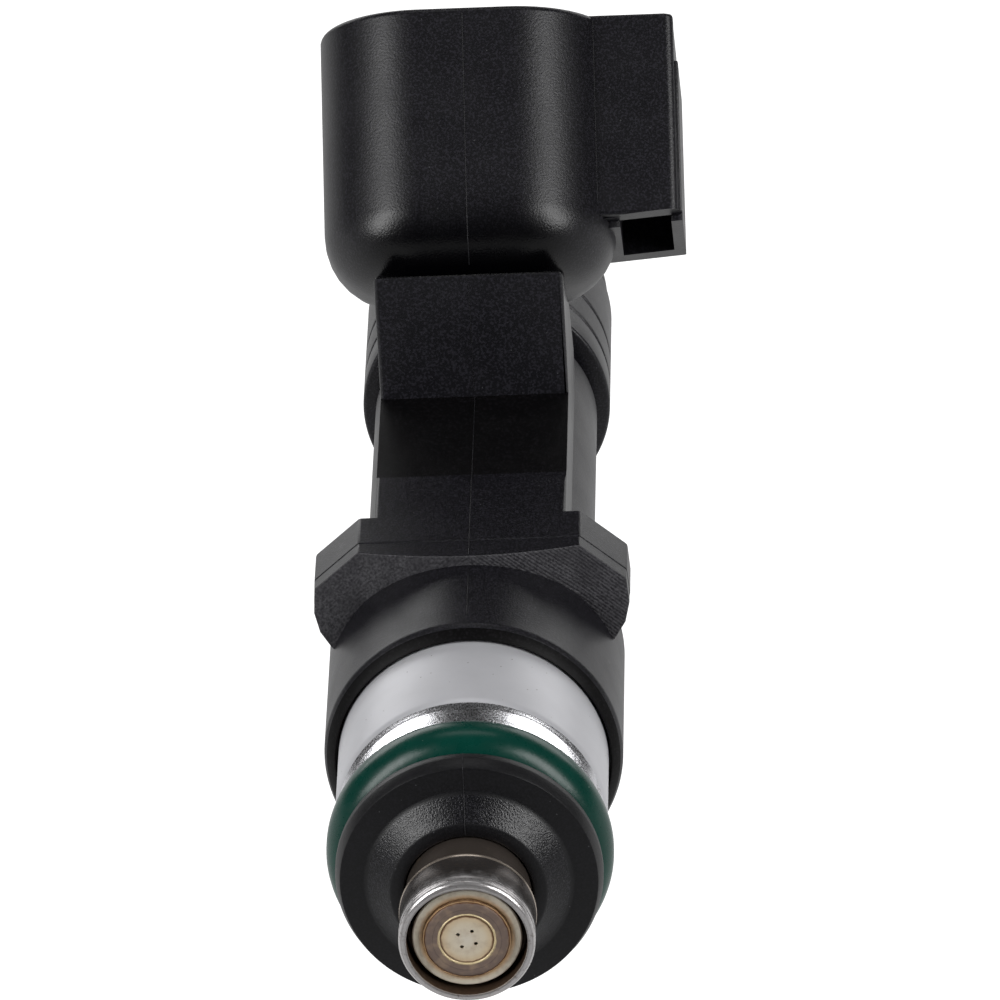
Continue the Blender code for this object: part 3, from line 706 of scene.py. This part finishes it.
def latch_guide():
    """Tunnel beside the socket: chamfered near plate, thin outer wall and a longer far plate."""
    side = SOCKET_WIDTH / 2 + 0.26
    edge, drop, outer = 0.44, 0.20, LATCH_NEAR_OUTER
    outline = [(4.0, LATCH_NEAR), (outer - edge, LATCH_NEAR), (outer, LATCH_NEAR + drop),
               (outer, LATCH_NEAR + LATCH_PLATE + 0.3), (4.0, LATCH_NEAR + LATCH_PLATE + 0.3)]
    plate = prism("latch_plate", outline, -LATCH_NEAR_LENGTH - 0.25, 0.0, socket_point)
    bevelled(plate, 0.20)
    wall = box("latch_wall", (4.0, LATCH_NEAR + 0.50, -LATCH_LENGTH - 0.4),
               (LATCH_OUTER, LATCH_FAR, -LATCH_SHOULDER), socket_point)
    bevelled(wall, 0.10, 2)
    top = box("latch_top", (4.0, LATCH_NEAR + 0.8, -4.0),
              (LATCH_NEAR_OUTER - 0.02, LATCH_FAR - 0.02, -0.05), socket_point)
    combine(plate, [wall, bevelled(top, 0.2)], "UNION")
    wide, narrow = LATCH_OUTER - LATCH_WALL, LATCH_NEAR_OUTER - LATCH_WALL
    step, below, above = -LATCH_SHOULDER - LATCH_WALL, -13.5, 1.0
    outline = [(side, below), (wide, below), (wide, step), (narrow, step), (narrow, above),
               (side, above)]
    tunnel = prism("latch_tunnel", outline, LATCH_NEAR + LATCH_PLATE, LATCH_FAR - LATCH_PLATE,
                   across_socket)
    combine(plate, [tunnel, slanted_end("latch_end", 3.0, -6.0, LATCH_LENGTH),
                    slanted_end("latch_foot", 3.0, LATCH_NEAR + LATCH_PLATE + 0.02 - 12,
                                LATCH_NEAR_LENGTH, 12.0)], "DIFFERENCE")
    return bevelled(plate, 0.05, 2)


def slanted_end(name, inner, far, length, depth=14.0):
    """Cutter for a lower end that drops by a few degrees towards the socket."""
    slope = math.tan(math.radians(4.5))
    outer = LATCH_OUTER + 1.0
    outline = [(inner, -length - slope * (LATCH_OUTER - inner)), (outer, -length + slope),
               (outer, -length - 3.0), (inner, -length - 3.0)]
    return prism(name, outline, far, far + depth, across_socket)


def terminal_path():
    def on_blade(depth):
        return (MOUTH_STATION - depth * math.sin(TILT), MOUTH_HEIGHT - depth * math.cos(TILT))
    return [on_blade(BLADE_TIP_DEPTH), on_blade(BLADE_ROOT_DEPTH), (45.6, LEAD_HEIGHT),
            (30.3, LEAD_HEIGHT), (28.9, LEAD_FOOT), (25.2, LEAD_FOOT)]


def thick_line(path, thickness):
    points = [Vector(p) for p in path]
    headings = [(b - a).normalized() for a, b in zip(points, points[1:])]
    left, right = [], []
    for i, point in enumerate(points):
        before, after = headings[max(i - 1, 0)], headings[min(i, len(headings) - 1)]
        normal = (Vector((-before.y, before.x)) + Vector((-after.y, after.x))).normalized()
        reach = thickness / 2 / max(normal.dot(Vector((-after.y, after.x))), 0.3)
        left.append(point + normal * reach)
        right.append(point - normal * reach)
    return [tuple(p) for p in left + right[::-1]]


def terminal_strip(name, centre_x, clearance):
    outline = thick_line(terminal_path(), BLADE_THICKNESS + 2 * clearance)
    half = BLADE_WIDTH / 2 + clearance
    return prism(name, outline, centre_x - half, centre_x + half, side_view)


def overmold():
    body = body_shell()
    flange = bevelled(prism("flange", flange_outline(0), WING_FRONT + 0.95, WING_REAR, end_view),
                      0.12)
    side = [(SPINE_FRONT, SPINE_FOOT), (SPINE_FRONT, SPINE_TOP), (SPINE_REAR, SPINE_TOP),
            (SPINE_REAR, SPINE_FOOT)]
    spine = bevelled(prism("spine", side, -SPINE_HALF_WIDTH, SPINE_HALF_WIDTH, side_view), 0.22)
    recess, behind, above = SPINE_TOP - SPINE_RECESS, NECK_FRONT + 0.2, SPINE_TOP + 1
    for name, start, low, high in (("step_left", 33.9, -6, 0), ("step_right", 32.6, 0, 6)):
        outline = [(start, SPINE_TOP + 0.005), (SPINE_STEP, recess), (behind, recess),
                   (behind, above), (start, above)]
        combine(spine, [prism(name, outline, low, high, side_view)], "DIFFERENCE")
    combine(spine, [box("step_line", (-6, 27.15, SPINE_TOP - 0.04), (6, 27.22, SPINE_TOP + 1))],
            "DIFFERENCE")
    side = [(NECK_FRONT, SPINE_FOOT), (NECK_FRONT, NECK_TOP), (44.6, NECK_TOP - NECK_STEP),
            (47.0, NECK_TOP - NECK_STEP), (50.5, 9.5), (54.0, 5.2), (54.0, SPINE_FOOT)]
    neck = bevelled(prism("neck", side, -SPINE_HALF_WIDTH, SPINE_HALF_WIDTH, side_view), 0.20)
    combine(body, [flange, bevelled(bowed_lip(), 0.10), spine, neck, socket_outer(),
                   latch_guide()], "UNION")
    before, mouth_end, after = SKIRT_FRONT - 1.1, SKIRT_FRONT + 0.8, BODY_END + 1
    mouth = HOUSING_RADIUS + 0.14
    cuts = [turned("bore_cut", [(before, 0), (before, mouth), (mouth_end, mouth),
                                (mouth_end, POCKET_RADIUS), (BORE_STEP, POCKET_RADIUS),
                                (BORE_STEP, BORE_RADIUS), (after, BORE_RADIUS),
                                (after, 0)]),
            socket_hollow()]
    cuts += [terminal_strip(f"terminal_cut_{side:+d}", side * BLADE_SPACING / 2, 0.1)
             for side in (-1, 1)]
    combine(body, cuts, "DIFFERENCE")
    finish_shading(body)
    return body


def parting_lines():
    """Fine mould-flash beads where the tool halves met, along the top of the moulding."""
    near = -SOCKET_THICKNESS / 2
    socket = [socket_point(0.05, near, -0.35 - i * 0.5) for i in range(21)]
    for i in range(1, 10):
        turn = math.radians(i * 6)
        socket.append(socket_point(0.05, near + BASE_FILLET * (1 - math.cos(turn)),
                                   -SOCKET_LENGTH + BASE_FILLET * (1 - math.sin(turn))))
    crease_x = SOCKET_WIDTH / 2 - SOCKET_CORNER + math.sqrt(
        SOCKET_CORNER ** 2 - (-LATCH_NEAR - SOCKET_THICKNESS / 2 + SOCKET_CORNER) ** 2)
    crease = [socket_point(crease_x + 0.02, LATCH_NEAR + 0.03, -0.3 - i * 0.5) for i in range(21)]
    neck = [placed(0.0, NECK_FRONT, NECK_TOP - 0.3 - i * 0.5) for i in range(14)]
    spine = [placed(0.02, 33.6 - i * 0.5, SPINE_TOP) for i in range(18)]
    spine = [placed(0.02, 42.9, SPINE_TOP - SPINE_RECESS),
             placed(0.02, SPINE_STEP, SPINE_TOP - SPINE_RECESS)] + spine
    skirt = [placed(0.0, 24.9 - i * 0.5, SKIRT_RADIUS) for i in range(11)]
    skirt += [placed(0, 19.1, 7.42), placed(0, 18.3, 7.12)]
    return [wire("flash_socket", socket, 0.030), wire("flash_latch", crease, 0.040),
            wire("flash_neck", neck, 0.020), wire("flash_spine", spine, 0.022),
            wire("flash_skirt", skirt, 0.026)]


# ---------------------------------------------------------------- other outer pieces

def tip_cap():
    outer, bore = CAP_RADIUS, 3.22
    profile = [(6.98, 3.86)]
    profile += arc((6.98 - 0.12, outer - 0.12), 0.12, 0, 90, 3)
    profile += [(6.50, outer), (6.42, outer - 0.01), (5.84, outer - 0.22), (5.78, outer - 0.26),
                (5.75, outer - 0.34), (5.75, 5.32), (5.72, 5.22), (5.60, 5.08), (4.82, 4.08),
                (4.70, 3.96), (4.64, 3.86)]
    profile += arc((4.60 + 0.1, bore + 0.1), 0.1, 180, 270, 3)
    profile += [(5.72, bore), (6.05, 3.86)]
    return turned("retainer_cap_skin", profile)


def cap_flash():
    stations = [(6.9, CAP_RADIUS), (6.45, CAP_RADIUS), (5.80, CAP_RADIUS - 0.23),
                (5.74, CAP_RADIUS - 0.35), (5.74, 5.8), (5.74, 5.3),
                (5.5, 4.97), (5.1, 4.46), (4.75, 4.02), (4.60, 3.8), (4.59, 3.4)]
    return wire("flash_cap", [placed(0.0, s, r) for s, r in stations], 0.026)


def seal_ring(name, node):
    """Torus that fills the CAD ring's box, with a faint trim line round its outside."""
    low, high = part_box(node)
    section = (high[1] - low[1]) / 2 / MM
    outer = high[2] / MM
    centre_y = (high[1] + low[1]) / 2 / MM + SEAL_STATION
    centre_radius = outer - section
    profile = []
    steps = 56
    for i in range(steps):
        angle = 2 * math.pi * i / steps
        swell = 0.012 if i in (14, 42) else 0.0
        profile.append((centre_y + (section - swell) * math.cos(angle),
                        centre_radius + (section - swell) * math.sin(angle)))
    return turned(name, profile)


def housing():
    """Steel cup whose front edge is rolled over; its rear half hides in the moulding."""
    front, inner = HOUSING_FRONT, HOUSING_RADIUS - HOUSING_WALL
    profile = [(HOUSING_INSIDE, 3.9), (front + 0.05, 3.9), (front, 3.95), (front, 5.37),
               (front + 0.05, 5.49)]
    profile += [(11.05, 5.76), (11.30, 6.05), (11.50, 6.27), (11.68, 6.45), (11.85, 6.60)]
    profile += [(12.0, 6.71), (12.10, 6.77), (12.2, 6.82), (12.32, 6.86), (12.5, HOUSING_RADIUS)]
    profile += [(17.6, HOUSING_RADIUS), (HOUSING_END - 0.15, HOUSING_RADIUS),
                (HOUSING_END, HOUSING_RADIUS - 0.15), (HOUSING_END, inner),
                (HOUSING_INSIDE, inner)]
    cup = turned("magnet_housing_skin", profile)
    slot = box("lead_slot", (-4.6, 24.9, 3.95), (4.6, 30.0, 9.0))
    combine(cup, [slot], "DIFFERENCE")
    cup.data.set_sharp_from_angle(angle=CREASE)
    return cup


def valve_tube():
    rim = [(-0.27, RIM_BORE), (-0.33, RIM_BORE + 0.02), (-0.35, RIM_BORE + 0.07)]
    rim += arc((0.0, RIM_BORE + 0.07), 0.35, 180, 112, 8)[1:]
    rim += [(0.10, TIP_OUTER - 0.02), (0.36, TIP_OUTER - 0.012), (0.40, TIP_OUTER + 0.01),
            (0.46, TIP_OUTER + 0.005), (0.50, TIP_OUTER - 0.005)]
    ridge = [(2.38, TIP_OUTER - 0.005), (2.44, TIP_OUTER + 0.025), (2.50, TIP_OUTER + 0.045),
             (2.57, TIP_OUTER + 0.04), (2.62, TIP_OUTER), (2.66, TIP_NECK_RADIUS + 0.05),
             (2.70, TIP_NECK_RADIUS)]
    profile = rim + ridge + [(TIP_NECK_END, TIP_NECK_RADIUS), (6.3, TUBE_RADIUS),
                             (SLEEVE_END, TUBE_RADIUS), (SLEEVE_END, SLEEVE_BORE),
                             (6.7, SLEEVE_BORE), (6.4, SEAT_POCKET_BORE),
                             (1.3, SEAT_POCKET_BORE), (1.25, RIM_BORE)]
    return turned("valve_sleeve_skin", profile)


def seat():
    profile = [(0.20, SEAT_THROAT), (0.20, SEAT_RADIUS - 0.10)]
    profile += arc((0.30, SEAT_RADIUS - 0.10), 0.10, 180, 90, 5)[1:]
    profile += [(SEAT_END - 0.1, SEAT_RADIUS), (SEAT_END, SEAT_RADIUS - 0.1),
                (SEAT_END, SEAT_BORE + 0.3), (SEAT_END - 0.25, SEAT_BORE), (1.85, SEAT_BORE),
                (0.9, SEAT_THROAT)]
    return turned("valve_seat_skin", profile, INNER)


def spray_plate():
    profile = [(0.02, 0), (0.0, 1.28), (0.0, 1.31), (0.035, 1.33), (0.035, 1.35), (-0.02, 1.38),
               (-0.03, 1.42), (0.0, 1.455), (-0.03, 1.55), (-0.055, 1.70), (-0.06, 1.72),
               (-0.05, 1.74), (-0.07, 1.84), (-0.06, 1.96), (-0.02, 2.08), (0.03, 2.12),
               (-0.01, 2.15), (0.02, PLATE_RADIUS), (0.16, PLATE_RADIUS), (0.16, 0)]
    plate = turned("spray_plate_skin", profile, INNER)
    holes = []
    for hole in range(4):
        turn = math.radians(HOLE_TURN + 90 * hole)
        centre = (HOLE_CIRCLE * math.cos(turn), HOLE_CIRCLE * math.sin(turn))
        outline = arc(centre, HOLE_RADIUS, 0, 360, 24)[:-1]
        holes.append(prism(f"spray_hole_{hole + 1}", outline, -0.5, 0.6, end_view))
    combine(plate, holes, "DIFFERENCE")
    plate.data.set_sharp_from_angle(angle=PLATE_CREASE)
    return plate


def inlet():
    lip, fillet = LIP_END - LIP_THICKNESS, 0.35
    profile = [(TUBE_FRONT, 2.85), (TUBE_FRONT, 3.24), (33.6, 3.24), (33.6, TUBE_RADIUS),
               (lip - fillet, TUBE_RADIUS)]
    profile += arc((lip - fillet, TUBE_RADIUS + fillet), fillet, 270, 360, 5)
    profile += [(lip, LIP_RADIUS - 0.4)] + arc((lip + 0.4, LIP_RADIUS - 0.4), 0.4, 180, 90, 6)[1:]
    profile += arc((LIP_END - 0.4, LIP_RADIUS - 0.4), 0.4, 90, 0, 6)
    profile += [(LIP_END, 3.65)] + arc((LIP_END - 0.35, 3.65), 0.35, 0, -90, 5)[1:]
    profile += [(34.4, 3.3), (34.0, 2.85)]
    return turned("inlet_tube_skin", profile)


def terminal(name, centre_x):
    """Blade with a chamfered lead-in at its tip."""
    return bevelled(terminal_strip(name, centre_x, 0.0), 0.16, 2)


def filter_cage():
    start, end, outer, inner = 60.5, 71.8, 2.8, 2.3
    cage = turned("filter_frame_skin", [(start, 0), (start, outer - 0.2), (start + 0.2, outer),
                                        (end - 0.15, outer), (end, outer - 0.15),
                                        (end, inner + 0.1), (end - 0.1, inner),
                                        (start + 0.8, inner), (start + 0.8, 0)], INNER)
    windows = [box("window_across", (-4, 62.0, -1.2), (4, 68.4, 1.2)),
               box("window_upright", (-1.2, 62.0, -4), (1.2, 68.4, 4))]
    combine(cage, windows, "DIFFERENCE")
    finish_shading(cage)
    return cage


def winding():
    """Enamelled wire laid in rows: the outside shows each turn."""
    wire_pitch, start, end = 0.36, 13.3, 23.9
    turns = int((end - start) / wire_pitch)
    pitch = (end - start) / turns
    profile = [(start, 4.6)]
    for turn in range(turns):
        centre = start + (turn + 0.5) * pitch
        profile += [(centre - pitch * 0.48, 5.58), (centre - pitch * 0.25, 5.67), (centre, 5.70),
                    (centre + pitch * 0.25, 5.67), (centre + pitch * 0.48, 5.58)]
    return turned("coil_winding_skin", profile + [(end, 4.6)], 64)


# ---------------------------------------------------------------- dressing

def dress(obj, node, material):
    """A finer piece stands for one CAD node, rides on the fixed body and takes its material."""
    obj.data.materials.clear()
    obj.data.materials.append(material)
    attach(obj, BODY)
    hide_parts(node)


def dress_bead(bead, material):
    """A mould-flash bead rides on the fixed body and stands for no CAD node."""
    bead.data.materials.append(material)
    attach(bead, BODY)


def paint(node, material):
    """Give a carried-over CAD node a procedural material."""
    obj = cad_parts[node]
    for material_slot in obj.material_slots:
        material_slot.material = material


def paint_where(obj, material, test):
    """A second finish on the faces that pass test(station, radius, forward part of the normal)."""
    obj.data.materials.append(material)
    index = len(obj.data.materials) - 1
    for face in obj.data.polygons:
        centre = face.center / MM
        if test(centre.y + SEAL_STATION, math.hypot(centre.x, centre.z), -face.normal.y):
            face.material_index = index


def on_shoulder(station, radius, forward):
    return HOUSING_FRONT - 0.05 < station < HOUSING_FRONT + 1.3 and radius > 4.0


def on_skirt_lip(station, radius, forward):
    return SKIRT_FRONT - 0.1 < station < SKIRT_FRONT + 0.4 and HOUSING_RADIUS < radius < 7.42


def on_spine_recess(station, radius, forward):
    behind_step = SPINE_STEP - 0.2 < station < NECK_FRONT + 0.3
    return behind_step and radius > SPINE_TOP - 0.3 and forward < 0.3


def on_neck_front(station, radius, forward):
    return abs(station - NECK_FRONT) < 0.3 and radius > BODY_RADIUS and forward > 0.5


def on_wing_front(station, radius, forward):
    return WING_FRONT - 1.0 < station < WING_FRONT + 0.3 and forward > 0.6


def on_cap_cone(station, radius, forward):
    return 4.7 < station < 5.65 and 3.95 < radius < 5.15


def on_tip_neck(station, radius, forward):
    return 2.64 < station < 6.2 and 3.0 < radius < 3.5


def in_rim_bore(station, radius, forward):
    return -0.25 < station < 1.4 and 2.5 < radius < RIM_BORE + 0.01


def on_seat_side(station, radius, forward):
    return station > 0.3 and radius > SEAT_RADIUS - 0.02


def build_outside():
    # the moulded black takes painted shade in the corner where the socket meets the neck
    plastic = moulded_plastic("look_moulded_black", (0.0016, 0.0014, 0.0028),
                              (0.0155, 0.0145, 0.0200), 0.11, 0.010, 0.40,
                              (NECK_FRONT, NECK_TOP, CORNER_REACH, SPINE_HALF_WIDTH))
    steel = turned_steel("look_polished_steel", (0.64, 0.64, 0.67), 0.40, metallic=0.24)
    body = overmold()
    dress(body, "overmold_body", plastic)
    # clip wing fronts: cutter lines, and a paler tone as painted light
    paint_where(body, milled_plastic_with_painted_light(), on_wing_front)
    # painted light: a paler copy of the moulded nylon on the neck's front face
    paint_where(body, moulded_plastic("look_neck_painted_light", (0.0050, 0.0048, 0.0066),
                                      (0.0200, 0.0190, 0.0250), 0.13, 0.006, 0.45), on_neck_front)
    # painted shade: darker nylon on the skirt's lip, in the gap against the steel
    paint_where(body, painted_shade_plastic("look_shaded_lip", 0.50, 0.12), on_skirt_lip)
    # painted shade: darker nylon in the spine's recess behind its step
    paint_where(body, painted_shade_plastic("look_painted_shade_spine", 0.40, 0.28), on_spine_recess)
    flash = moulded_plastic("look_flash_black", (0.0020, 0.0018, 0.0032), (0.0125, 0.0115, 0.0160),
                            0.11, 0.006, 0.60)
    for bead in parting_lines():
        dress_bead(bead, flash)
    cap = tip_cap()
    smooth = moulded_plastic("look_cap_black", (0.0014, 0.0014, 0.0022), (0.0050, 0.0048, 0.0068),
                             0.11, 0.006, 0.42)
    dress(cap, "tip_retainer_cap", smooth)
    paint_where(cap, moulded_plastic("look_grained_cone", (0.0020, 0.0020, 0.0028),
                                     (0.0200, 0.0195, 0.0240), 0.08, 0.022, 0.31), on_cap_cone)
    dress_bead(cap_flash(), flash)

    cup = housing()
    dress(cup, "magnet_housing", steel)
    paint_where(cup, rolled_steel(), on_shoulder)
    tube = valve_tube()
    dress(tube, "valve_sleeve", tip_steel())
    # dark brown steel in the gap between seat and rim: a brown tint darkened as painted shade
    gap_shade_steel = plain_grain("look_gap_shade_brown", (0.075, 0.045, 0.028), 0.45, 0.5, 0.25, 0.003)
    paint_where(tube, gap_shade_steel, in_rim_bore)
    # the sleeve's neck under the cap: a brown tint darkened as painted shade and reflection of the
    # cap
    neck_shade_steel = turned_steel("look_neck_shade_brown", (0.17, 0.14, 0.12), 0.30, 0.010, 0.75, 0.75)
    paint_where(tube, neck_shade_steel, on_tip_neck)
    dress(inlet(), "inlet_tube", steel)
    face = spray_face("look_spray_face")
    valve_seat = seat()
    dress(valve_seat, "valve_seat", face)
    paint_where(valve_seat, gap_shade_steel, on_seat_side)
    dress(spray_plate(), "orifice_plate", face)
    dress(seal_ring("lower_seal_skin", "lower_seal_ring"), "lower_seal_ring",
          seal_rubber("look_green_rubber", (0.0002, 0.034, 0.024), (0.0008, 0.054, 0.038), 0.28))
    dress(seal_ring("upper_seal_skin", "upper_seal_ring"), "upper_seal_ring",
          seal_rubber("look_black_rubber", (0.012, 0.012, 0.013), (0.022, 0.022, 0.024), 0.38))


def build_inside():
    tin = plain_grain("look_tin", (0.66, 0.65, 0.62), 0.30, 1.0, 0.35, 0.002)
    nylon = plain_grain("look_nylon", (0.42, 0.36, 0.26), 0.50, 0.0, 0.30, 0.006)
    machined = turned_steel("look_machined_steel", (0.50, 0.50, 0.52), 0.26)
    for name, x in (("terminal_left", -BLADE_SPACING / 2), ("terminal_right", BLADE_SPACING / 2)):
        dress(terminal(name + "_skin", x), name, tin)
    dress(filter_cage(), "filter_frame", nylon)
    dress(turned("filter_screen_skin", [(61.4, 2.08), (61.4, 2.18), (69.0, 2.18), (69.0, 2.08)],
                 INNER), "filter_screen", woven_mesh("look_filter_cloth"))
    brass = turned_steel("look_brass", (0.62, 0.43, 0.17), 0.24)
    collar = [(68.6, 2.86), (68.6, 3.17), (68.65, 3.22), (71.9, 3.22), (72.0, 3.12), (72.0, 2.95),
              (71.9, 2.85)]
    dress(turned("filter_collar_skin", collar, INNER), "filter_collar", brass)
    dress(winding(), "coil_winding",
          plain_grain("look_copper", (0.50, 0.17, 0.06), 0.30, 1.0, 0.4, 0.003))
    paint("coil_bobbin", nylon)
    paint("closing_spring", plain_grain("look_spring", (0.38, 0.38, 0.40), 0.26, 1.0, 0.15, 0.002))
    for node in ("magnet_end_washer", "inner_pole", "adjusting_sleeve", "armature", "needle_tube"):
        paint(node, machined)
    paint("valve_ball", turned_steel("look_ball", (0.70, 0.70, 0.72), 0.08, 0.0003))


# ---------------------------------------------------------------- stage

def make_camera():
    yaw, elevation, roll = (math.radians(a) for a in (CAMERA_YAW, CAMERA_ELEVATION, CAMERA_ROLL))
    ahead = Vector((math.sin(yaw) * math.cos(elevation), math.cos(yaw) * math.cos(elevation),
                    -math.sin(elevation)))
    level = Vector((math.cos(yaw), -math.sin(yaw), 0))
    up = level.cross(ahead)
    right = level * math.cos(roll) + up * math.sin(roll)
    up = -level * math.sin(roll) + up * math.cos(roll)
    camera = bpy.data.cameras.new("camera")
    camera.lens = CAMERA_LENS
    camera.sensor_width = 36
    camera.clip_start = 0.01
    camera.clip_end = 20
    obj = in_scene("camera", camera)
    matrix = Matrix((right, up, -ahead)).transposed().to_4x4()
    matrix.translation = (Vector(CAMERA_TARGET) - ahead * CAMERA_DISTANCE) * MM
    obj.matrix_world = matrix
    bpy.context.scene.camera = obj


def softbox(name, direction, width, height, power):
    light = bpy.data.lights.new(name, "AREA")
    light.shape = "RECTANGLE"
    light.size = width
    light.size_y = height
    light.energy = power
    obj = in_scene(name, light)
    place = Vector(direction).normalized() * LIGHT_DISTANCE
    obj.location = place
    obj.rotation_euler = (-place).to_track_quat("-Z", "Y").to_euler()


def make_room():
    """Room light, fixed in the world: bright behind the object (+Y), dim beyond its tip (-Y)."""
    world = bpy.data.worlds.new("studio")
    bpy.context.scene.world = world
    world.use_nodes = True
    tree = world.node_tree
    parts = tree.nodes.new("ShaderNodeSeparateXYZ")
    tree.links.new(tree.nodes.new("ShaderNodeTexCoord").outputs["Generated"], parts.inputs[0])
    fade = tree.nodes.new("ShaderNodeMapRange")
    fade.interpolation_type = "SMOOTHSTEP"
    for name, number in (("From Min", ROOM_SWEEP[0]), ("From Max", ROOM_SWEEP[1]),
                         ("To Min", ROOM_FRONT), ("To Max", ROOM_BACK)):
        fade.inputs[name].default_value = number
    tree.links.new(parts.outputs["Y"], fade.inputs["Value"])
    tree.links.new(fade.outputs[0], tree.nodes["Background"].inputs["Strength"])


def make_floor():
    """Pale floor: it looks pure white, but throws less light, and least beyond the tip."""
    bm = bmesh.new()
    bmesh.ops.create_grid(bm, x_segments=1, y_segments=1, size=3.0)
    mesh = bpy.data.meshes.new("floor")
    bm.to_mesh(mesh)
    bm.free()
    floor = in_scene("floor", mesh)
    floor.location.z = FLOOR_HEIGHT
    look = Look("look_floor", (0.30, 0.30, 0.30), 0.9)
    look.shader.inputs["Emission Color"].default_value = (1, 1, 1, 1)
    seen = look.tree.nodes.new("ShaderNodeLightPath").outputs["Is Camera Ray"]
    sweep = look.spread(look.xyz()[1], *FLOOR_SWEEP, FLOOR_FRONT, FLOOR_BACK)
    glow = look.math("MAXIMUM", seen, sweep)
    look.link(glow, look.shader.inputs["Emission Strength"])
    mesh.materials.append(look.material)


bpy.context.scene.view_settings.view_transform = "Standard"
make_camera()
make_room()
make_floor()
for side in (-1, 1):
    softbox(f"softbox_front_{side:+d}", (0.74 * side, -0.42, 0.53), 0.20, 0.40, FRONT_POWER)
    softbox(f"softbox_back_{side:+d}", (0.42 * side, 0.88, 0.26), 0.40, 0.22,
            BACK_POWER - BACK_POWER_SLANT * side)
softbox("softbox_top", (0.0, 0.35, 0.94), 0.30, 0.12, TOP_POWER)
build_outside()
build_inside()
